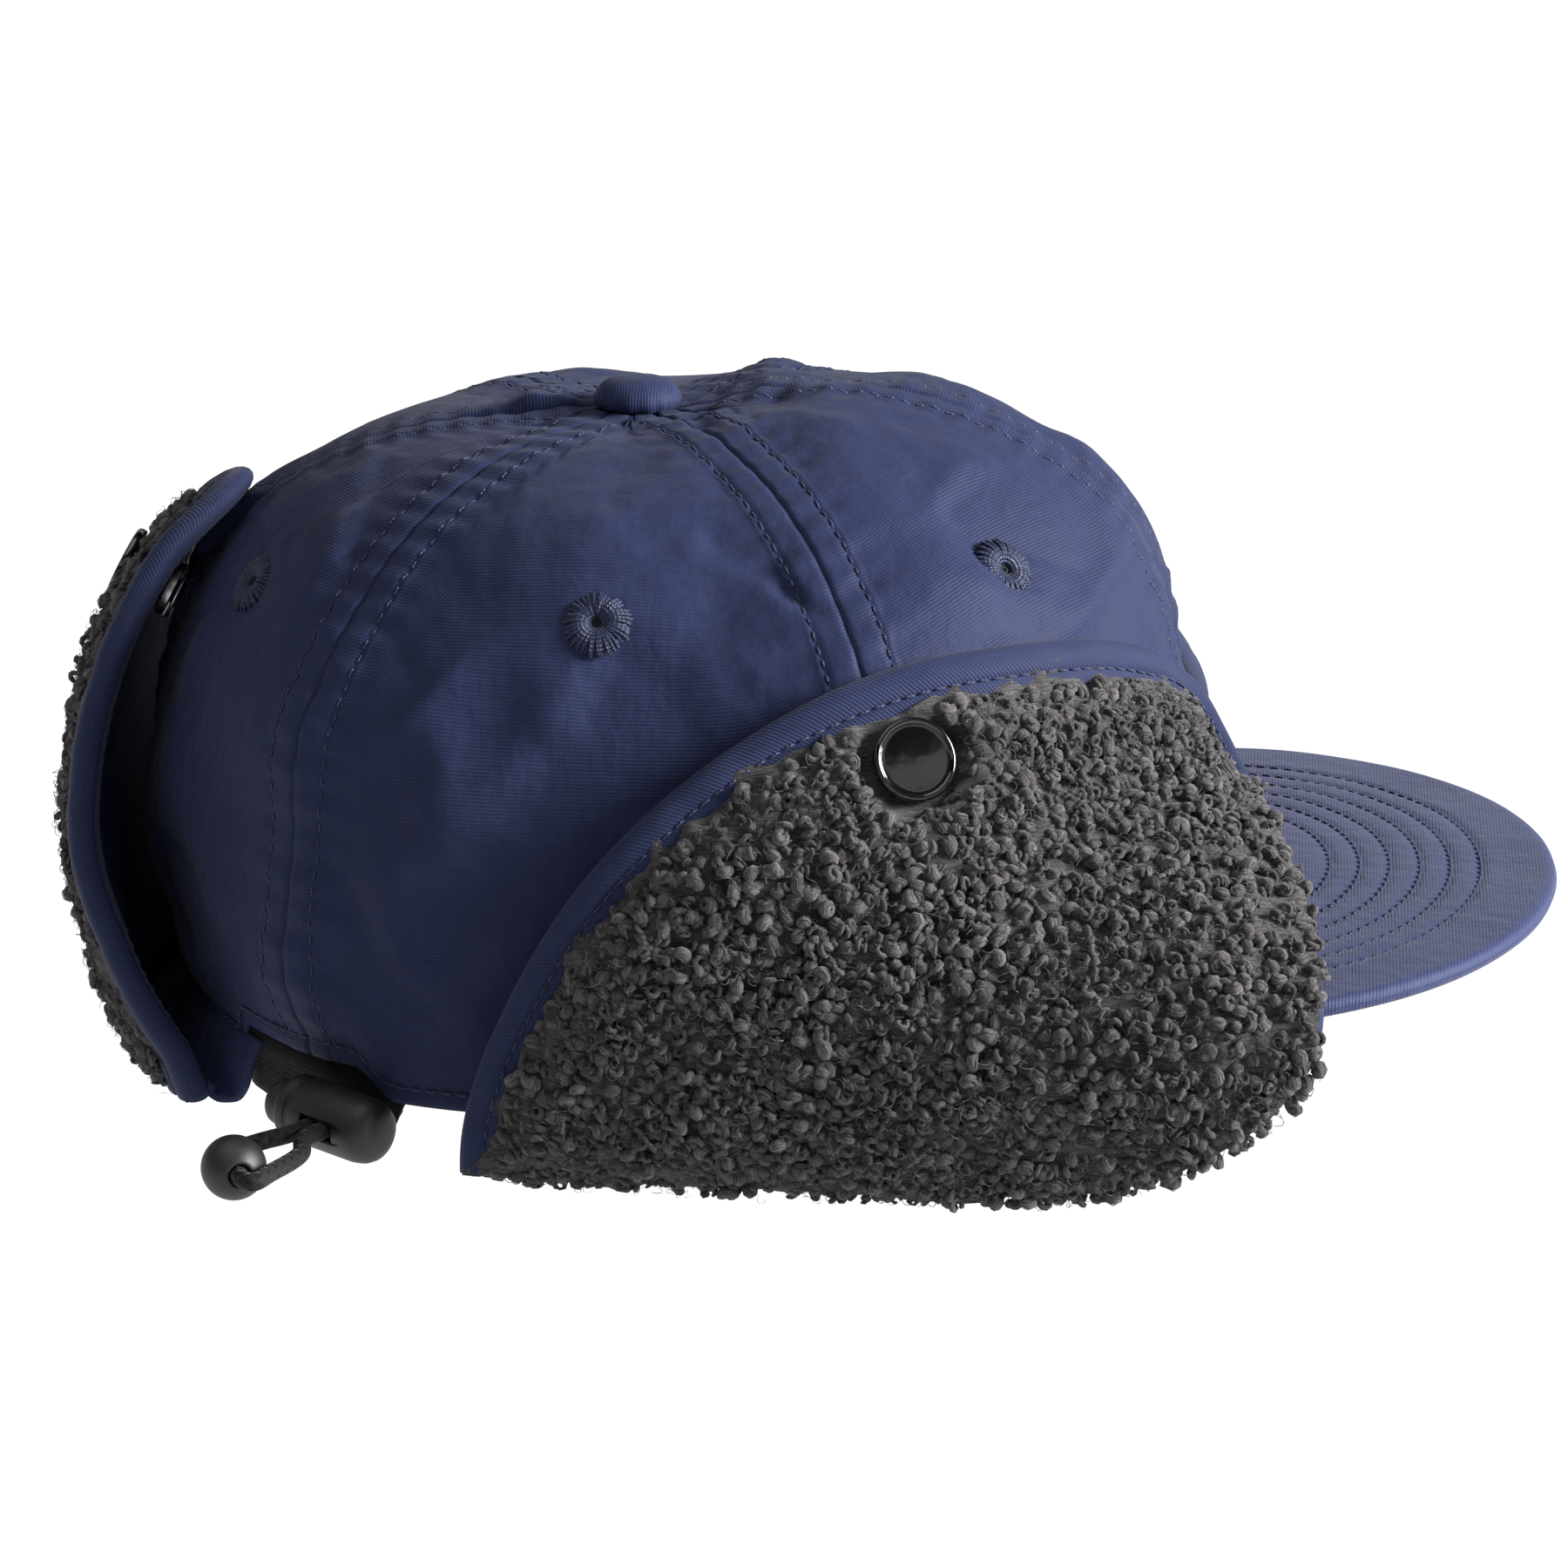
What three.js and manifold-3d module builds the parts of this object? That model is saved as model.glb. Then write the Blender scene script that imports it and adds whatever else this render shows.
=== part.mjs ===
// Trapper-style six-panel cap with fold-up sherpa ear flaps and neck flap, flaps folded up.
// Millimetres, +Z up. The visor points along -Y and the wearer's right side is -X.
// The cap lies on its folded flaps, whose undersides are at Z = 0.
import * as THREE from 'three';
import { mergeVertices } from 'three/addons/utils/BufferGeometryUtils.js';
import Module from 'manifold-3d';

// ---- driving dimensions -------------------------------------------------------------------
const GAP = 0.3;                    // clearance between touching pieces

const HALF_WIDTH = 87;              // crown, centre to side at the hem
const FRONT_REACH = 104;            // crown, centre to the foot of the front seam
const BACK_REACH = 96;              // crown, centre to the fullest point of the back
const CROWN_TOP = 117.5;            // height of the crown under the button
const CROWN_HOLE = 5;               // radius of the hole the six panels leave at the button
const FRONT_FULLNESS = 26;          // how far the front panels puff up ahead of the button
const LEFT_FULLNESS = 0.9;          // how much squarer the soft crown's left shoulder lies
const BACK_TUCK = 0.12;             // share of the back reach that the hem elastic gathers in
const PANEL_FLATNESS = 0.025;       // how much a panel's middle lies inside its seams
const HEM_SIDE = 9.5;               // height of the hem at the sides and the back
const HEM_FRONT = 29;               // height of the hem over the visor
const PANEL_THICKNESS = 1.5;
const LINING_OUTER = 3.2;           // depth of the lining's outer face under the crown
const LINING_INNER = 4;
const SWEATBAND_OUTER = 8.8;
const SWEATBAND_INNER = 9.8;
const PANEL_COLUMNS = 6;
const PANEL_ROWS = [0, 0.035, 0.08, 0.16, 0.28, 0.4, 0.52, 0.64, 0.76, 0.88, 1];
const SEAMS = [0, 60, 126, 180, 234, 300, 360];   // azimuths of the six seams, in degrees

const VISOR_HALF_WIDTH = 87;
const VISOR_LENGTH = 111;           // from the line between the visor's corners to its tip
const VISOR_CORNER_Y = -60;
const VISOR_TIP_Y = VISOR_CORNER_Y - VISOR_LENGTH;
const VISOR_TAPER = 0.22;           // how much narrower than the visor its line of corners is
const VISOR_SQUARENESS = 0.7;       // below 1, the visor's front is squarer than an ellipse
const VISOR_CORNER_ANGLE = 50;      // degrees from the front seam to the end of the visor
const VISOR_MID_HEIGHT = 31;        // height of the middle of the visor at the front seam
const VISOR_TIP_RISE = 1.5;
const VISOR_CAMBER = 1.5;           // drop of the visor's sides well ahead of the crown
const VISOR_CORNER_DROP = 10;       // further drop where its corners follow the hem
const VISOR_CORNER_BLEND = 64;      // length over which that further drop fades out
const VISOR_COVER = 0.6;
const VISOR_BOARD = 1.7;

const FLAP_SHELL = 1.2;
const FLAP_LENGTH = 145;            // ear flap, along its fold
const FLAP_REAR_Y = 22;
const FLAP_REAR_ANGLE = 106;        // crown azimuth, in degrees, under the flap's rear edge
const FLAP_FRONT_ANGLE = 14;
const LEFT_FLAP_SET_BACK = 24;      // the left flap is folded up this much further back,
const LEFT_FLAP_TURN = 16;          // which turns it by this many degrees round the crown
const FLAP_FOOT_X = 89;             // ear flap's shell at the foot of its rear edge
const FLAP_FOOT_SWELL = 4;
const FLAP_STANDOFF = 4;            // crown to shell where the snap holds them together
const EDGE_BAND = 5.2;              // width of the bias binding round a flap
const BINDING_GAP = 0.6;            // the flap's layers stop short of the binding by this much
const BINDING_THICKNESS = 4.6;
const PILE_FULL = 9.6;              // depth of the sherpa in the middle of a flap
const PILE_EDGE = 3.8;
const PILE_AT_SNAP = 5;
const OUTLINE_STEPS = 8;            // points along each curve of a flap's outline
const FLAP_FOOT_Z = 1.8;            // height of a folded flap's lowest edge

const BACK_FLAP_HALF_WIDTH = 57;
const BACK_FLAP_TOP = 102;
const BACK_FLAP_STANDOFF = 4.7;
const BACK_PILE_FULL = 7;

const SNAP_RADIUS = 7.5;
const SNAP_SEAT = SNAP_RADIUS + 0.4;  // pinched pile round the cap
const SNAP_HOLE = 2.4;
const EAR_SNAP = new THREE.Vector2(76, 70.5);
const BACK_SNAP = new THREE.Vector2(0, 82);
const SNAP_SEGMENTS = 16;
const EYELET_RADIUS = 5.8;
const EYELET_HOLE = 1.1;
const EYELETS = [[35, 96.5], [90, 94], [152, 92]];   // azimuth and height of the right-hand ones
const CORD_RADIUS = 1.6;
const BEAD_RADIUS = 5.75;
const LOCK_RADIUS = 6;
const LOCK_LENGTH = 21;
const LOCK_BORE = 4.7;
const LOCK_FLOOR = 1.6;
const PLUNGER_RADIUS = 4.3;
const PLUNGER_FOOT = 1;             // thickness of the plunger between its slot and its foot
const PLUNGER_STAND_OUT = 4.2;
const PLUNGER_TRAVEL = 2.5;
const SPRING_RADIUS = 2.9;
const SPRING_WIRE = 0.3;
const SPRING_TURNS = 3;

// ---- materials ----------------------------------------------------------------------------
function paint(color, roughness, metalness = 0) {
  return new THREE.MeshStandardMaterial({ color, roughness, metalness });
}
const navyNylon = paint('#2b3154', 0.62);
const visorNylon = paint('#333a62', 0.6);
const bindingTwill = paint('#2a3052', 0.7);
const navyThread = paint('#303862', 0.6);
const liningTaffeta = paint('#1d2036', 0.7);
const sherpaPile = paint('#3f3c3a', 0.95);
const blackWebbing = paint('#141416', 0.85);
const blackElastic = paint('#17181b', 0.8);
const blackPlastic = paint('#121315', 0.45);
const blackEnamel = paint('#0e0f12', 0.12);
const springSteel = paint('#8c8e92', 0.35, 1);
const visorBoard = paint('#d8d8d2', 0.6);

// ---- small maths helpers ------------------------------------------------------------------
const radians = THREE.MathUtils.degToRad;
const clamp01 = (value) => THREE.MathUtils.clamp(value, 0, 1);
const smooth = (value) => THREE.MathUtils.smoothstep(value, 0, 1);
const mix = THREE.MathUtils.lerp;

// A closed solid between two sheets of points. outer(u, v) and inner(u, v) take u and v in 0..1.
// A wrapped solid joins u = 1 back to u = 0.
function solidBetween(outer, inner, columns, rowStops, wrap = false) {
  const rows = rowStops.length - 1;
  const across = wrap ? columns : columns + 1;
  const positions = [];
  for (const sheet of [outer, inner]) {
    for (const v of rowStops) {
      for (let column = 0; column < across; column += 1) {
        positions.push(...sheet(column / columns, v).toArray());
      }
    }
  }
  const sheetSize = across * (rows + 1);
  const vertex = (sheet, column, row) => sheet * sheetSize + row * across + (column % across);
  const indices = [];
  const quad = (a, b, c, d) => indices.push(a, b, c, a, c, d);
  for (let column = 0; column < columns; column += 1) {
    for (let row = 0; row < rows; row += 1) {
      quad(vertex(0, column, row), vertex(0, column + 1, row),
        vertex(0, column + 1, row + 1), vertex(0, column, row + 1));
      quad(vertex(1, column, row), vertex(1, column, row + 1),
        vertex(1, column + 1, row + 1), vertex(1, column + 1, row));
    }
    quad(vertex(0, column, 0), vertex(1, column, 0),
      vertex(1, column + 1, 0), vertex(0, column + 1, 0));
    quad(vertex(0, column, rows), vertex(0, column + 1, rows),
      vertex(1, column + 1, rows), vertex(1, column, rows));
  }
  if (!wrap) {
    for (let row = 0; row < rows; row += 1) {
      quad(vertex(0, 0, row), vertex(0, 0, row + 1), vertex(1, 0, row + 1), vertex(1, 0, row));
      quad(vertex(0, columns, row), vertex(1, columns, row),
        vertex(1, columns, row + 1), vertex(0, columns, row + 1));
    }
  }
  return facingOut(positions, indices);
}

// Builds the geometry and turns its triangles round if the volume they enclose is negative.
function facingOut(positions, indices) {
  const geometry = new THREE.BufferGeometry();
  geometry.setAttribute('position', new THREE.Float32BufferAttribute(positions, 3));
  let volume = 0;
  for (let i = 0; i < indices.length; i += 3) {
    const [a, b, c] = [0, 1, 2].map((k) => new THREE.Vector3().fromArray(positions, indices[i + k] * 3));
    volume += a.dot(b.cross(c));
  }
  geometry.setIndex(volume < 0 ? indices.slice().reverse() : indices);
  geometry.computeVertexNormals();
  return geometry;
}

function stops(count) {
  return Array.from({ length: count + 1 }, (unused, i) => i / count);
}

// ---- boolean cuts -------------------------------------------------------------------------
const wasm = await Module();
wasm.setup();

function toSolid(geometry) {
  const bare = geometry.clone();
  bare.deleteAttribute('normal');
  bare.deleteAttribute('uv');
  const merged = mergeVertices(bare, 1e-4);
  return new wasm.Manifold(new wasm.Mesh({
    numProp: 3,
    vertProperties: new Float32Array(merged.attributes.position.array),
    triVerts: new Uint32Array(merged.index.array),
  }));
}

function fromSolid(solid) {
  const mesh = solid.getMesh();
  const geometry = new THREE.BufferGeometry();
  geometry.setAttribute('position', new THREE.BufferAttribute(new Float32Array(mesh.vertProperties), 3));
  geometry.setIndex(new THREE.BufferAttribute(new Uint32Array(mesh.triVerts), 1));
  geometry.computeVertexNormals();
  return geometry;
}

function cut(geometry, ...tools) {
  return fromSolid(tools.reduce((solid, tool) => solid.subtract(toSolid(tool)), toSolid(geometry)));
}

// ---- the crown's surface ------------------------------------------------------------------
// azimuth is in degrees: 0 at the front seam, 90 at the wearer's right, 180 at the back seam.
function hemHeight(azimuth) {
  const forward = Math.cos(radians(azimuth));
  return HEM_SIDE + (HEM_FRONT - HEM_SIDE) * smooth((forward - 0.25) / 0.7);
}

function crownPower(azimuth) {
  const forward = Math.cos(radians(azimuth));
  const leftward = Math.max(0, -Math.sin(radians(azimuth)));
  const ends = 0.65 * Math.max(0, forward) ** 2 + 0.2 * Math.max(0, -forward) ** 2;
  return 2.75 + ends + LEFT_FULLNESS * leftward;
}

// How far across its panel an azimuth lies: 0 and 1 at the seams.
function panelShare(azimuth) {
  const turn = THREE.MathUtils.euclideanModulo(azimuth, 360);
  const number = SEAMS.findIndex((seam) => seam > turn) - 1;
  return (turn - SEAMS[number]) / (SEAMS[number + 1] - SEAMS[number]);
}

// rise is 0 at the hem and 1 at the top, along the panel.
function crownSkin(azimuth, rise) {
  const angle = radians(azimuth);
  const forward = Math.cos(angle);
  const power = crownPower(azimuth);
  const lift = rise * Math.PI / 2;
  const radial = Math.max(Math.cos(lift), 0) ** (2 / power);
  const height = Math.sin(Math.max(lift, 0)) ** (2 / power);
  const tuck = BACK_TUCK * (1 - height) ** 4 * smooth(-forward * 1.4);
  const reach = (forward > 0 ? FRONT_REACH : BACK_REACH) * (1 - tuck);
  const flat = 1 - PANEL_FLATNESS * (1 - Math.cos(2 * Math.PI * panelShare(azimuth))) / 2;
  const hem = hemHeight(azimuth);
  const swell = radial * (1 - radial) * smooth(radial / 0.35);
  const puff = FRONT_FULLNESS * swell * Math.max(0, forward) ** 1.4;
  return new THREE.Vector3(
    -HALF_WIDTH * flat * radial * Math.sin(angle),
    -reach * flat * radial * forward,
    hem + (CROWN_TOP - hem) * height + puff,
  );
}

function crownNormal(azimuth, rise) {
  const at = Math.min(Math.max(rise, 0.03), 0.985);
  const alongAzimuth = crownSkin(azimuth + 0.2, at).sub(crownSkin(azimuth - 0.2, at));
  const alongRise = crownSkin(azimuth, at + 0.004).sub(crownSkin(azimuth, at - 0.004));
  return alongRise.cross(alongAzimuth).normalize();
}

// A point on the crown, moved out by offset along the surface's normal.
function crownPoint(azimuth, rise, offset = 0) {
  return crownSkin(azimuth, rise).addScaledVector(crownNormal(azimuth, rise), offset);
}

function riseAtHeight(azimuth, z) {
  const hem = hemHeight(azimuth);
  const share = clamp01((z - hem) / (CROWN_TOP - hem));
  return Math.asin(share ** (crownPower(azimuth) / 2)) / (Math.PI / 2);
}

function riseAtRadius(azimuth, radius) {
  return Math.acos((radius / HALF_WIDTH) ** (crownPower(azimuth) / 2)) / (Math.PI / 2);
}

// ---- assembly -----------------------------------------------------------------------------
const hat = new THREE.Group();
const cordage = new THREE.Group();

function add(name, geometry, material, parent = hat) {
  const mesh = new THREE.Mesh(geometry, material);
  mesh.name = name;
  parent.add(mesh);
  return mesh;
}

// Places a piece made round its own Z axis at a point, with Z along direction.
function standOn(geometry, point, direction) {
  const turn = new THREE.Quaternion().setFromUnitVectors(new THREE.Vector3(0, 0, 1), direction);
  return geometry.applyQuaternion(turn).translate(point.x, point.y, point.z);
}

// A lathe round Z from [radius, height] pairs. The first and last pair lie on the axis, or meet.
function turned(profile, segments = SNAP_SEGMENTS) {
  const points = profile.map(([radius, height]) => new THREE.Vector2(radius, height));
  return new THREE.LatheGeometry(points, segments).rotateX(Math.PI / 2);
}

function drill(radius, from, to) {
  return turned([[0, from], [radius, from], [radius, to], [0, to]]);
}

// ---- flaps --------------------------------------------------------------------------------
// A flap is drawn on its own sheet: q runs along the fold and z is the height on the sheet.
// Its outline starts at one end of the fold, goes round the free edge and returns along the fold.
function outlineOf(curves, foldPoints) {
  const path = new THREE.Path();
  path.moveTo(...curves[0].slice(0, 2));
  curves.forEach((curve) => path.bezierCurveTo(...curve.slice(2)));
  const free = path.getPoints(OUTLINE_STEPS);
  const fold = foldPoints.map((q) => new THREE.Vector2(q, FLAP_FOOT_Z));
  return { points: [...free, ...fold], freeEnd: free.length - 1 };
}

const earOutline = outlineOf([
  [0, FLAP_FOOT_Z, 0, 34, 38, 86, 90, 86],
  [90, 86, 126, 86, 153, 80, 153, 48],
  [153, 48, 153, 18, 130, FLAP_FOOT_Z, 94, FLAP_FOOT_Z],
], [70, 46, 22]);

const backOutline = outlineOf([
  [-BACK_FLAP_HALF_WIDTH, FLAP_FOOT_Z, -BACK_FLAP_HALF_WIDTH, 42, -28, BACK_FLAP_TOP, 0, BACK_FLAP_TOP],
  [0, BACK_FLAP_TOP, 28, BACK_FLAP_TOP, BACK_FLAP_HALF_WIDTH, 42, BACK_FLAP_HALF_WIDTH, FLAP_FOOT_Z],
], [30, 0, -30]);

const earRearY = (side) => (side > 0 ? FLAP_REAR_Y : FLAP_REAR_Y + LEFT_FLAP_SET_BACK);

function earFoot(side, q) {
  const swell = FLAP_FOOT_SWELL * Math.sin(Math.PI * clamp01(q / FLAP_LENGTH * 0.8));
  return new THREE.Vector3(-side * (FLAP_FOOT_X + swell), earRearY(side) - q, 0);
}

// The inner face of an ear flap: straight up from the fold, then in against the crown.
// side is 1 on the wearer's right and -1 on the left.
const earSheet = (side) => (q, z) => {
  const fromFront = mix(FLAP_REAR_ANGLE, FLAP_FRONT_ANGLE, q / FLAP_LENGTH);
  const azimuth = side > 0 ? fromFront : 360 - fromFront - LEFT_FLAP_TURN;
  const onCrown = crownPoint(azimuth, riseAtHeight(azimuth, z), FLAP_STANDOFF);
  return earFoot(side, q).setZ(z).lerp(onCrown, smooth((z / 90 - 0.3) / 0.55));
};

// The inner face of the neck flap: bent round the hem at its foot, almost flat higher up.
function backSheet(q, z) {
  const crown = crownSkin(180, riseAtHeight(180, z)).y;
  const standoff = BACK_FLAP_STANDOFF + 5 * Math.max(0, 1 - z / 30);
  const bend = 0.0012 + 0.0059 * Math.max(0, 1 - z / 50) ** 1.5;
  return new THREE.Vector3(q, crown + standoff - bend * q * q, z);
}

const FLAP_RINGS = [-1, 0, 0.15, 0.34, 0.58, 0.82, 1];

// A flap's layers are all measured from its sheet. Distances run outward from the snap's centre.
class Flap {
  constructor(sheet, outline, snap, outward, pileFull) {
    Object.assign(this, { sheet, outline, snap, outward, pileFull });
    this.segments = outline.points.length;
  }

  normal(q, z) {
    const alongFold = this.sheet(q + 0.5, z).sub(this.sheet(q - 0.5, z));
    const alongHeight = this.sheet(q, z + 0.5).sub(this.sheet(q, z - 0.5));
    const normal = alongFold.cross(alongHeight).normalize();
    return normal.dot(this.outward) < 0 ? normal.negate() : normal;
  }

  point(q, z, offset) {
    return this.sheet(q, z).addScaledVector(this.normal(q, z), offset);
  }

  // The outline's point number, its direction from the snap, and how far the layers reach to it.
  ray(u) {
    const number = Math.round(u * this.segments) % this.segments;
    const heading = this.outline.points[number].clone().sub(this.snap);
    const reach = heading.length();
    const band = number <= this.outline.freeEnd ? EDGE_BAND + BINDING_GAP : 0;
    return { heading: heading.normalize(), reach, body: reach - band };
  }

  // v is -1 at the snap's hole, 0 round the snap's seat and 1 at the edge of the layer.
  layer(offsetAt) {
    return (u, v) => {
      const { heading, body } = this.ray(u);
      const distance = v < 0 ? SNAP_HOLE : mix(SNAP_SEAT, body, v);
      const offset = offsetAt(distance, body);
      return this.point(this.snap.x + heading.x * distance, this.snap.y + heading.y * distance, offset);
    };
  }

  pileDepth(distance, body) {
    const nearSnap = mix(PILE_AT_SNAP, this.pileFull, smooth((distance - SNAP_SEAT) / 6));
    const nearEdge = mix(PILE_EDGE, this.pileFull, 1 - (1 - clamp01((body - distance) / 13)) ** 2);
    return Math.min(nearSnap, nearEdge);
  }

  shell() {
    return solidBetween(this.layer(() => FLAP_SHELL), this.layer(() => 0), this.segments, FLAP_RINGS, true);
  }

  pile() {
    const base = FLAP_SHELL + GAP;
    const outer = this.layer((distance, body) => base + this.pileDepth(distance, body));
    return solidBetween(outer, this.layer(() => base), this.segments, FLAP_RINGS, true);
  }

  binding() {
    const share = this.outline.freeEnd / this.segments;
    const face = (offset) => (u, v) => {
      const { heading, reach } = this.ray(u * share);
      const distance = reach - EDGE_BAND * (1 - v);
      const thinned = mix(offset, BINDING_THICKNESS / 2, v > 0.9 ? 0.5 : 0);
      return this.point(this.snap.x + heading.x * distance, this.snap.y + heading.y * distance, thinned);
    };
    return solidBetween(face(BINDING_THICKNESS), face(0), this.outline.freeEnd, [0, 0.65, 1]);
  }
}

const earFlap = (side) => new Flap(
  earSheet(side), earOutline, EAR_SNAP, new THREE.Vector3(-side, -0.3, 0.2), PILE_FULL,
);
const sides = { right: earFlap(1), left: earFlap(-1) };
const neckFlap = new Flap(backSheet, backOutline, BACK_SNAP, new THREE.Vector3(0, 1, 0.2), BACK_PILE_FULL);

// ---- snaps --------------------------------------------------------------------------------
// Each snap is made round Z, with Z = 0 on the crown's skin and Z pointing out through the flap.
const snapBack = turned([[0, -7.9], [4.4, -7.9], [4.4, -7.1], [1.6, -7.1], [1.6, 0.2], [0, 0.2]]);
const snapStud = turned([[0, 0.5], [5.5, 0.5], [5.5, 1.2], [2.1, 1.5], [2.1, 2.5], [0, 2.8]]);
const snapSocket = turned([[2.6, 1.6], [5.4, 1.6], [5.4, 3.4], [2.6, 3.4], [2.6, 1.6]]);
const capFoot = FLAP_STANDOFF + FLAP_SHELL + PILE_AT_SNAP + 3 * GAP;
const snapCap = turned([
  [0, FLAP_STANDOFF - 0.2], [1.9, FLAP_STANDOFF - 0.2], [1.9, capFoot], [SNAP_RADIUS, capFoot],
  [SNAP_RADIUS, capFoot + 1.1], [SNAP_RADIUS - 0.9, capFoot + 2], [SNAP_RADIUS - 2.2, capFoot + 2],
  [0, capFoot + 1.4],
]);

const snapPieces = { back: snapBack, stud: snapStud, socket: snapSocket, cap: snapCap };

function snapPlace(flap) {
  const { x, y } = flap.snap;
  return { point: flap.point(x, y, -FLAP_STANDOFF), axis: flap.normal(x, y) };
}

function snapDrill(place) {
  return standOn(drill(2, -9, 4), place.point, place.axis);
}

function addFlap(name, snapName, flap) {
  const place = snapPlace(flap);
  add(`${name}_shell`, flap.shell(), navyNylon);
  add(`${name}_sherpa`, flap.pile(), sherpaPile);
  add(`${name}_binding`, flap.binding(), bindingTwill);
  for (const [piece, shape] of Object.entries(snapPieces)) {
    const material = piece === 'cap' ? blackEnamel : springSteel;
    add(`${snapName}_${piece}`, standOn(shape.clone(), place.point, place.axis), material);
  }
}
addFlap('ear_flap_right', 'ear_snap_right', sides.right);
addFlap('ear_flap_left', 'ear_snap_left', sides.left);
addFlap('neck_flap', 'neck_snap', neckFlap);

// The turned-under fabric of a folded flap, between the hem and the flap's foot. Its underside
// is flat where the cap lies on it. inner and outer are the fold's two long edges at Z = 0.
const FOLD_TOP = HEM_SIDE - 0.9;
function foldStrip(inner, outer, columns) {
  const rail = (u, v) => inner(u).lerp(outer(u), v);
  const corner = (v) => (v === 0 || v === 1 ? 1 : 0);
  const top = (u, v) => rail(u, v).setZ(FOLD_TOP - 2.4 * corner(v));
  const bottom = (u, v) => rail(u, v).setZ(2.4 * corner(v));
  return solidBetween(top, bottom, columns, [0, 0.25, 0.75, 1]);
}

// The crown's hem at a given distance behind the crown's centre, on the right side.
function hemBeside(y) {
  const reach = y < 0 ? FRONT_REACH : BACK_REACH;
  let azimuth = THREE.MathUtils.radToDeg(Math.acos(THREE.MathUtils.clamp(-y / reach, -1, 1)));
  for (let pass = 0; pass < 12; pass += 1) {
    azimuth += (y - crownSkin(azimuth, 0).y) * 0.5;
  }
  return crownSkin(azimuth, 0);
}

const EAR_FOLD = [4, 82];
const earFold = (side) => foldStrip(
  (u) => {
    const hem = hemBeside(earRearY(side) - mix(...EAR_FOLD, u));
    return hem.set(side * (hem.x + 2), hem.y, 0);
  },
  (u) => earFoot(side, mix(...EAR_FOLD, u)).add(new THREE.Vector3(side * 0.8, 0, 0)),
  8,
);
const NECK_FOLD_HALF = 50;
const neckFoldX = (u) => mix(-NECK_FOLD_HALF, NECK_FOLD_HALF, u);
const neckFold = foldStrip(
  (u) => {
    const hem = BACK_REACH * (1 - BACK_TUCK) * Math.sqrt(1 - (neckFoldX(u) / HALF_WIDTH) ** 2);
    return new THREE.Vector3(neckFoldX(u), hem - 3, 0);
  },
  (u) => {
    const flapFaces = [FLAP_FOOT_Z, FOLD_TOP].map((z) => backSheet(neckFoldX(u), z).y);
    return new THREE.Vector3(neckFoldX(u), Math.min(...flapFaces) - 0.8, 0);
  },
  10,
);
add('ear_fold_right', earFold(1), navyNylon);
add('ear_fold_left', earFold(-1), navyNylon);
add('neck_fold', neckFold, navyNylon);

// ---- crown --------------------------------------------------------------------------------
const snapDrills = [sides.right, sides.left, neckFlap].map((flap) => snapDrill(snapPlace(flap)));

function panel(from, to) {
  const span = to - from;
  const face = (depth) => (u, v) => {
    const rise = v * riseAtRadius(from + u * span, CROWN_HOLE);
    const radius = crownSkin(from + u * span, rise).setZ(0).length();
    const margin = THREE.MathUtils.radToDeg(GAP / 2 / radius);
    return crownPoint(from + margin + u * (span - 2 * margin), rise, -depth);
  };
  return solidBetween(face(0), face(PANEL_THICKNESS), PANEL_COLUMNS, PANEL_ROWS);
}

const panelNames = ['front_right', 'side_right', 'back_right', 'back_left', 'side_left', 'front_left'];
panelNames.forEach((name, number) => {
  const shape = panel(SEAMS[number], SEAMS[number + 1]);
  add(`crown_panel_${name}`, cut(shape, ...snapDrills), navyNylon);
});

function ring(outerDepth, innerDepth, columns, rises) {
  const face = (depth) => (u, v) => crownPoint(u * 360, v, -depth);
  return solidBetween(face(outerDepth), face(innerDepth), columns, rises, true);
}
const liningRises = [0.06, 0.18, 0.3, 0.42, 0.54, 0.66, 0.78, 0.9];
add('crown_lining', cut(ring(LINING_OUTER, LINING_INNER, 24, liningRises), ...snapDrills), liningTaffeta);
add('sweatband', ring(SWEATBAND_OUTER, SWEATBAND_INNER, 24, [0.004, 0.04, 0.09]), liningTaffeta);

// ---- button and eyelets -------------------------------------------------------------------
const buttonBase = CROWN_TOP + 0.9;
add('top_button', turned([
  [0, buttonBase], [7.4, buttonBase], [8, buttonBase + 1.2], [7.2, buttonBase + 3],
  [5, buttonBase + 4.4], [2.5, buttonBase + 5], [0, buttonBase + 5.2],
]), navyNylon);
add('top_button_rivet', turned([
  [0, CROWN_TOP - 3.2], [7, CROWN_TOP - 3.2], [7, CROWN_TOP - 2.2], [1.8, CROWN_TOP - 2.2],
  [1.8, CROWN_TOP + 0.2], [0, CROWN_TOP + 0.2],
]), springSteel);

const eyeletProfile = [
  [EYELET_HOLE, 0.5], [EYELET_RADIUS, 0.5], [EYELET_RADIUS - 0.5, 1.1], [EYELET_HOLE + 0.6, 1.2],
  [EYELET_HOLE, 0.5],
];
EYELETS.forEach(([azimuth, height], number) => {
  for (const [side, turn] of [['right', azimuth], ['left', 360 - azimuth]]) {
    const rise = riseAtHeight(turn, height);
    const ring = standOn(turned(eyeletProfile, 12), crownPoint(turn, rise), crownNormal(turn, rise));
    add(`eyelet_${['front', 'side', 'back'][number]}_${side}`, ring, navyThread);
  }
});

// ---- visor --------------------------------------------------------------------------------
function visorHeight(x, y) {
  const forward = (y + FRONT_REACH) / (VISOR_TIP_Y + FRONT_REACH);
  const ahead = clamp01((VISOR_CORNER_Y - y) / VISOR_CORNER_BLEND);
  const camber = VISOR_CAMBER + VISOR_CORNER_DROP * (1 - ahead) ** 2;
  return VISOR_MID_HEIGHT + VISOR_TIP_RISE * forward - camber * (x / VISOR_HALF_WIDTH) ** 2;
}

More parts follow.
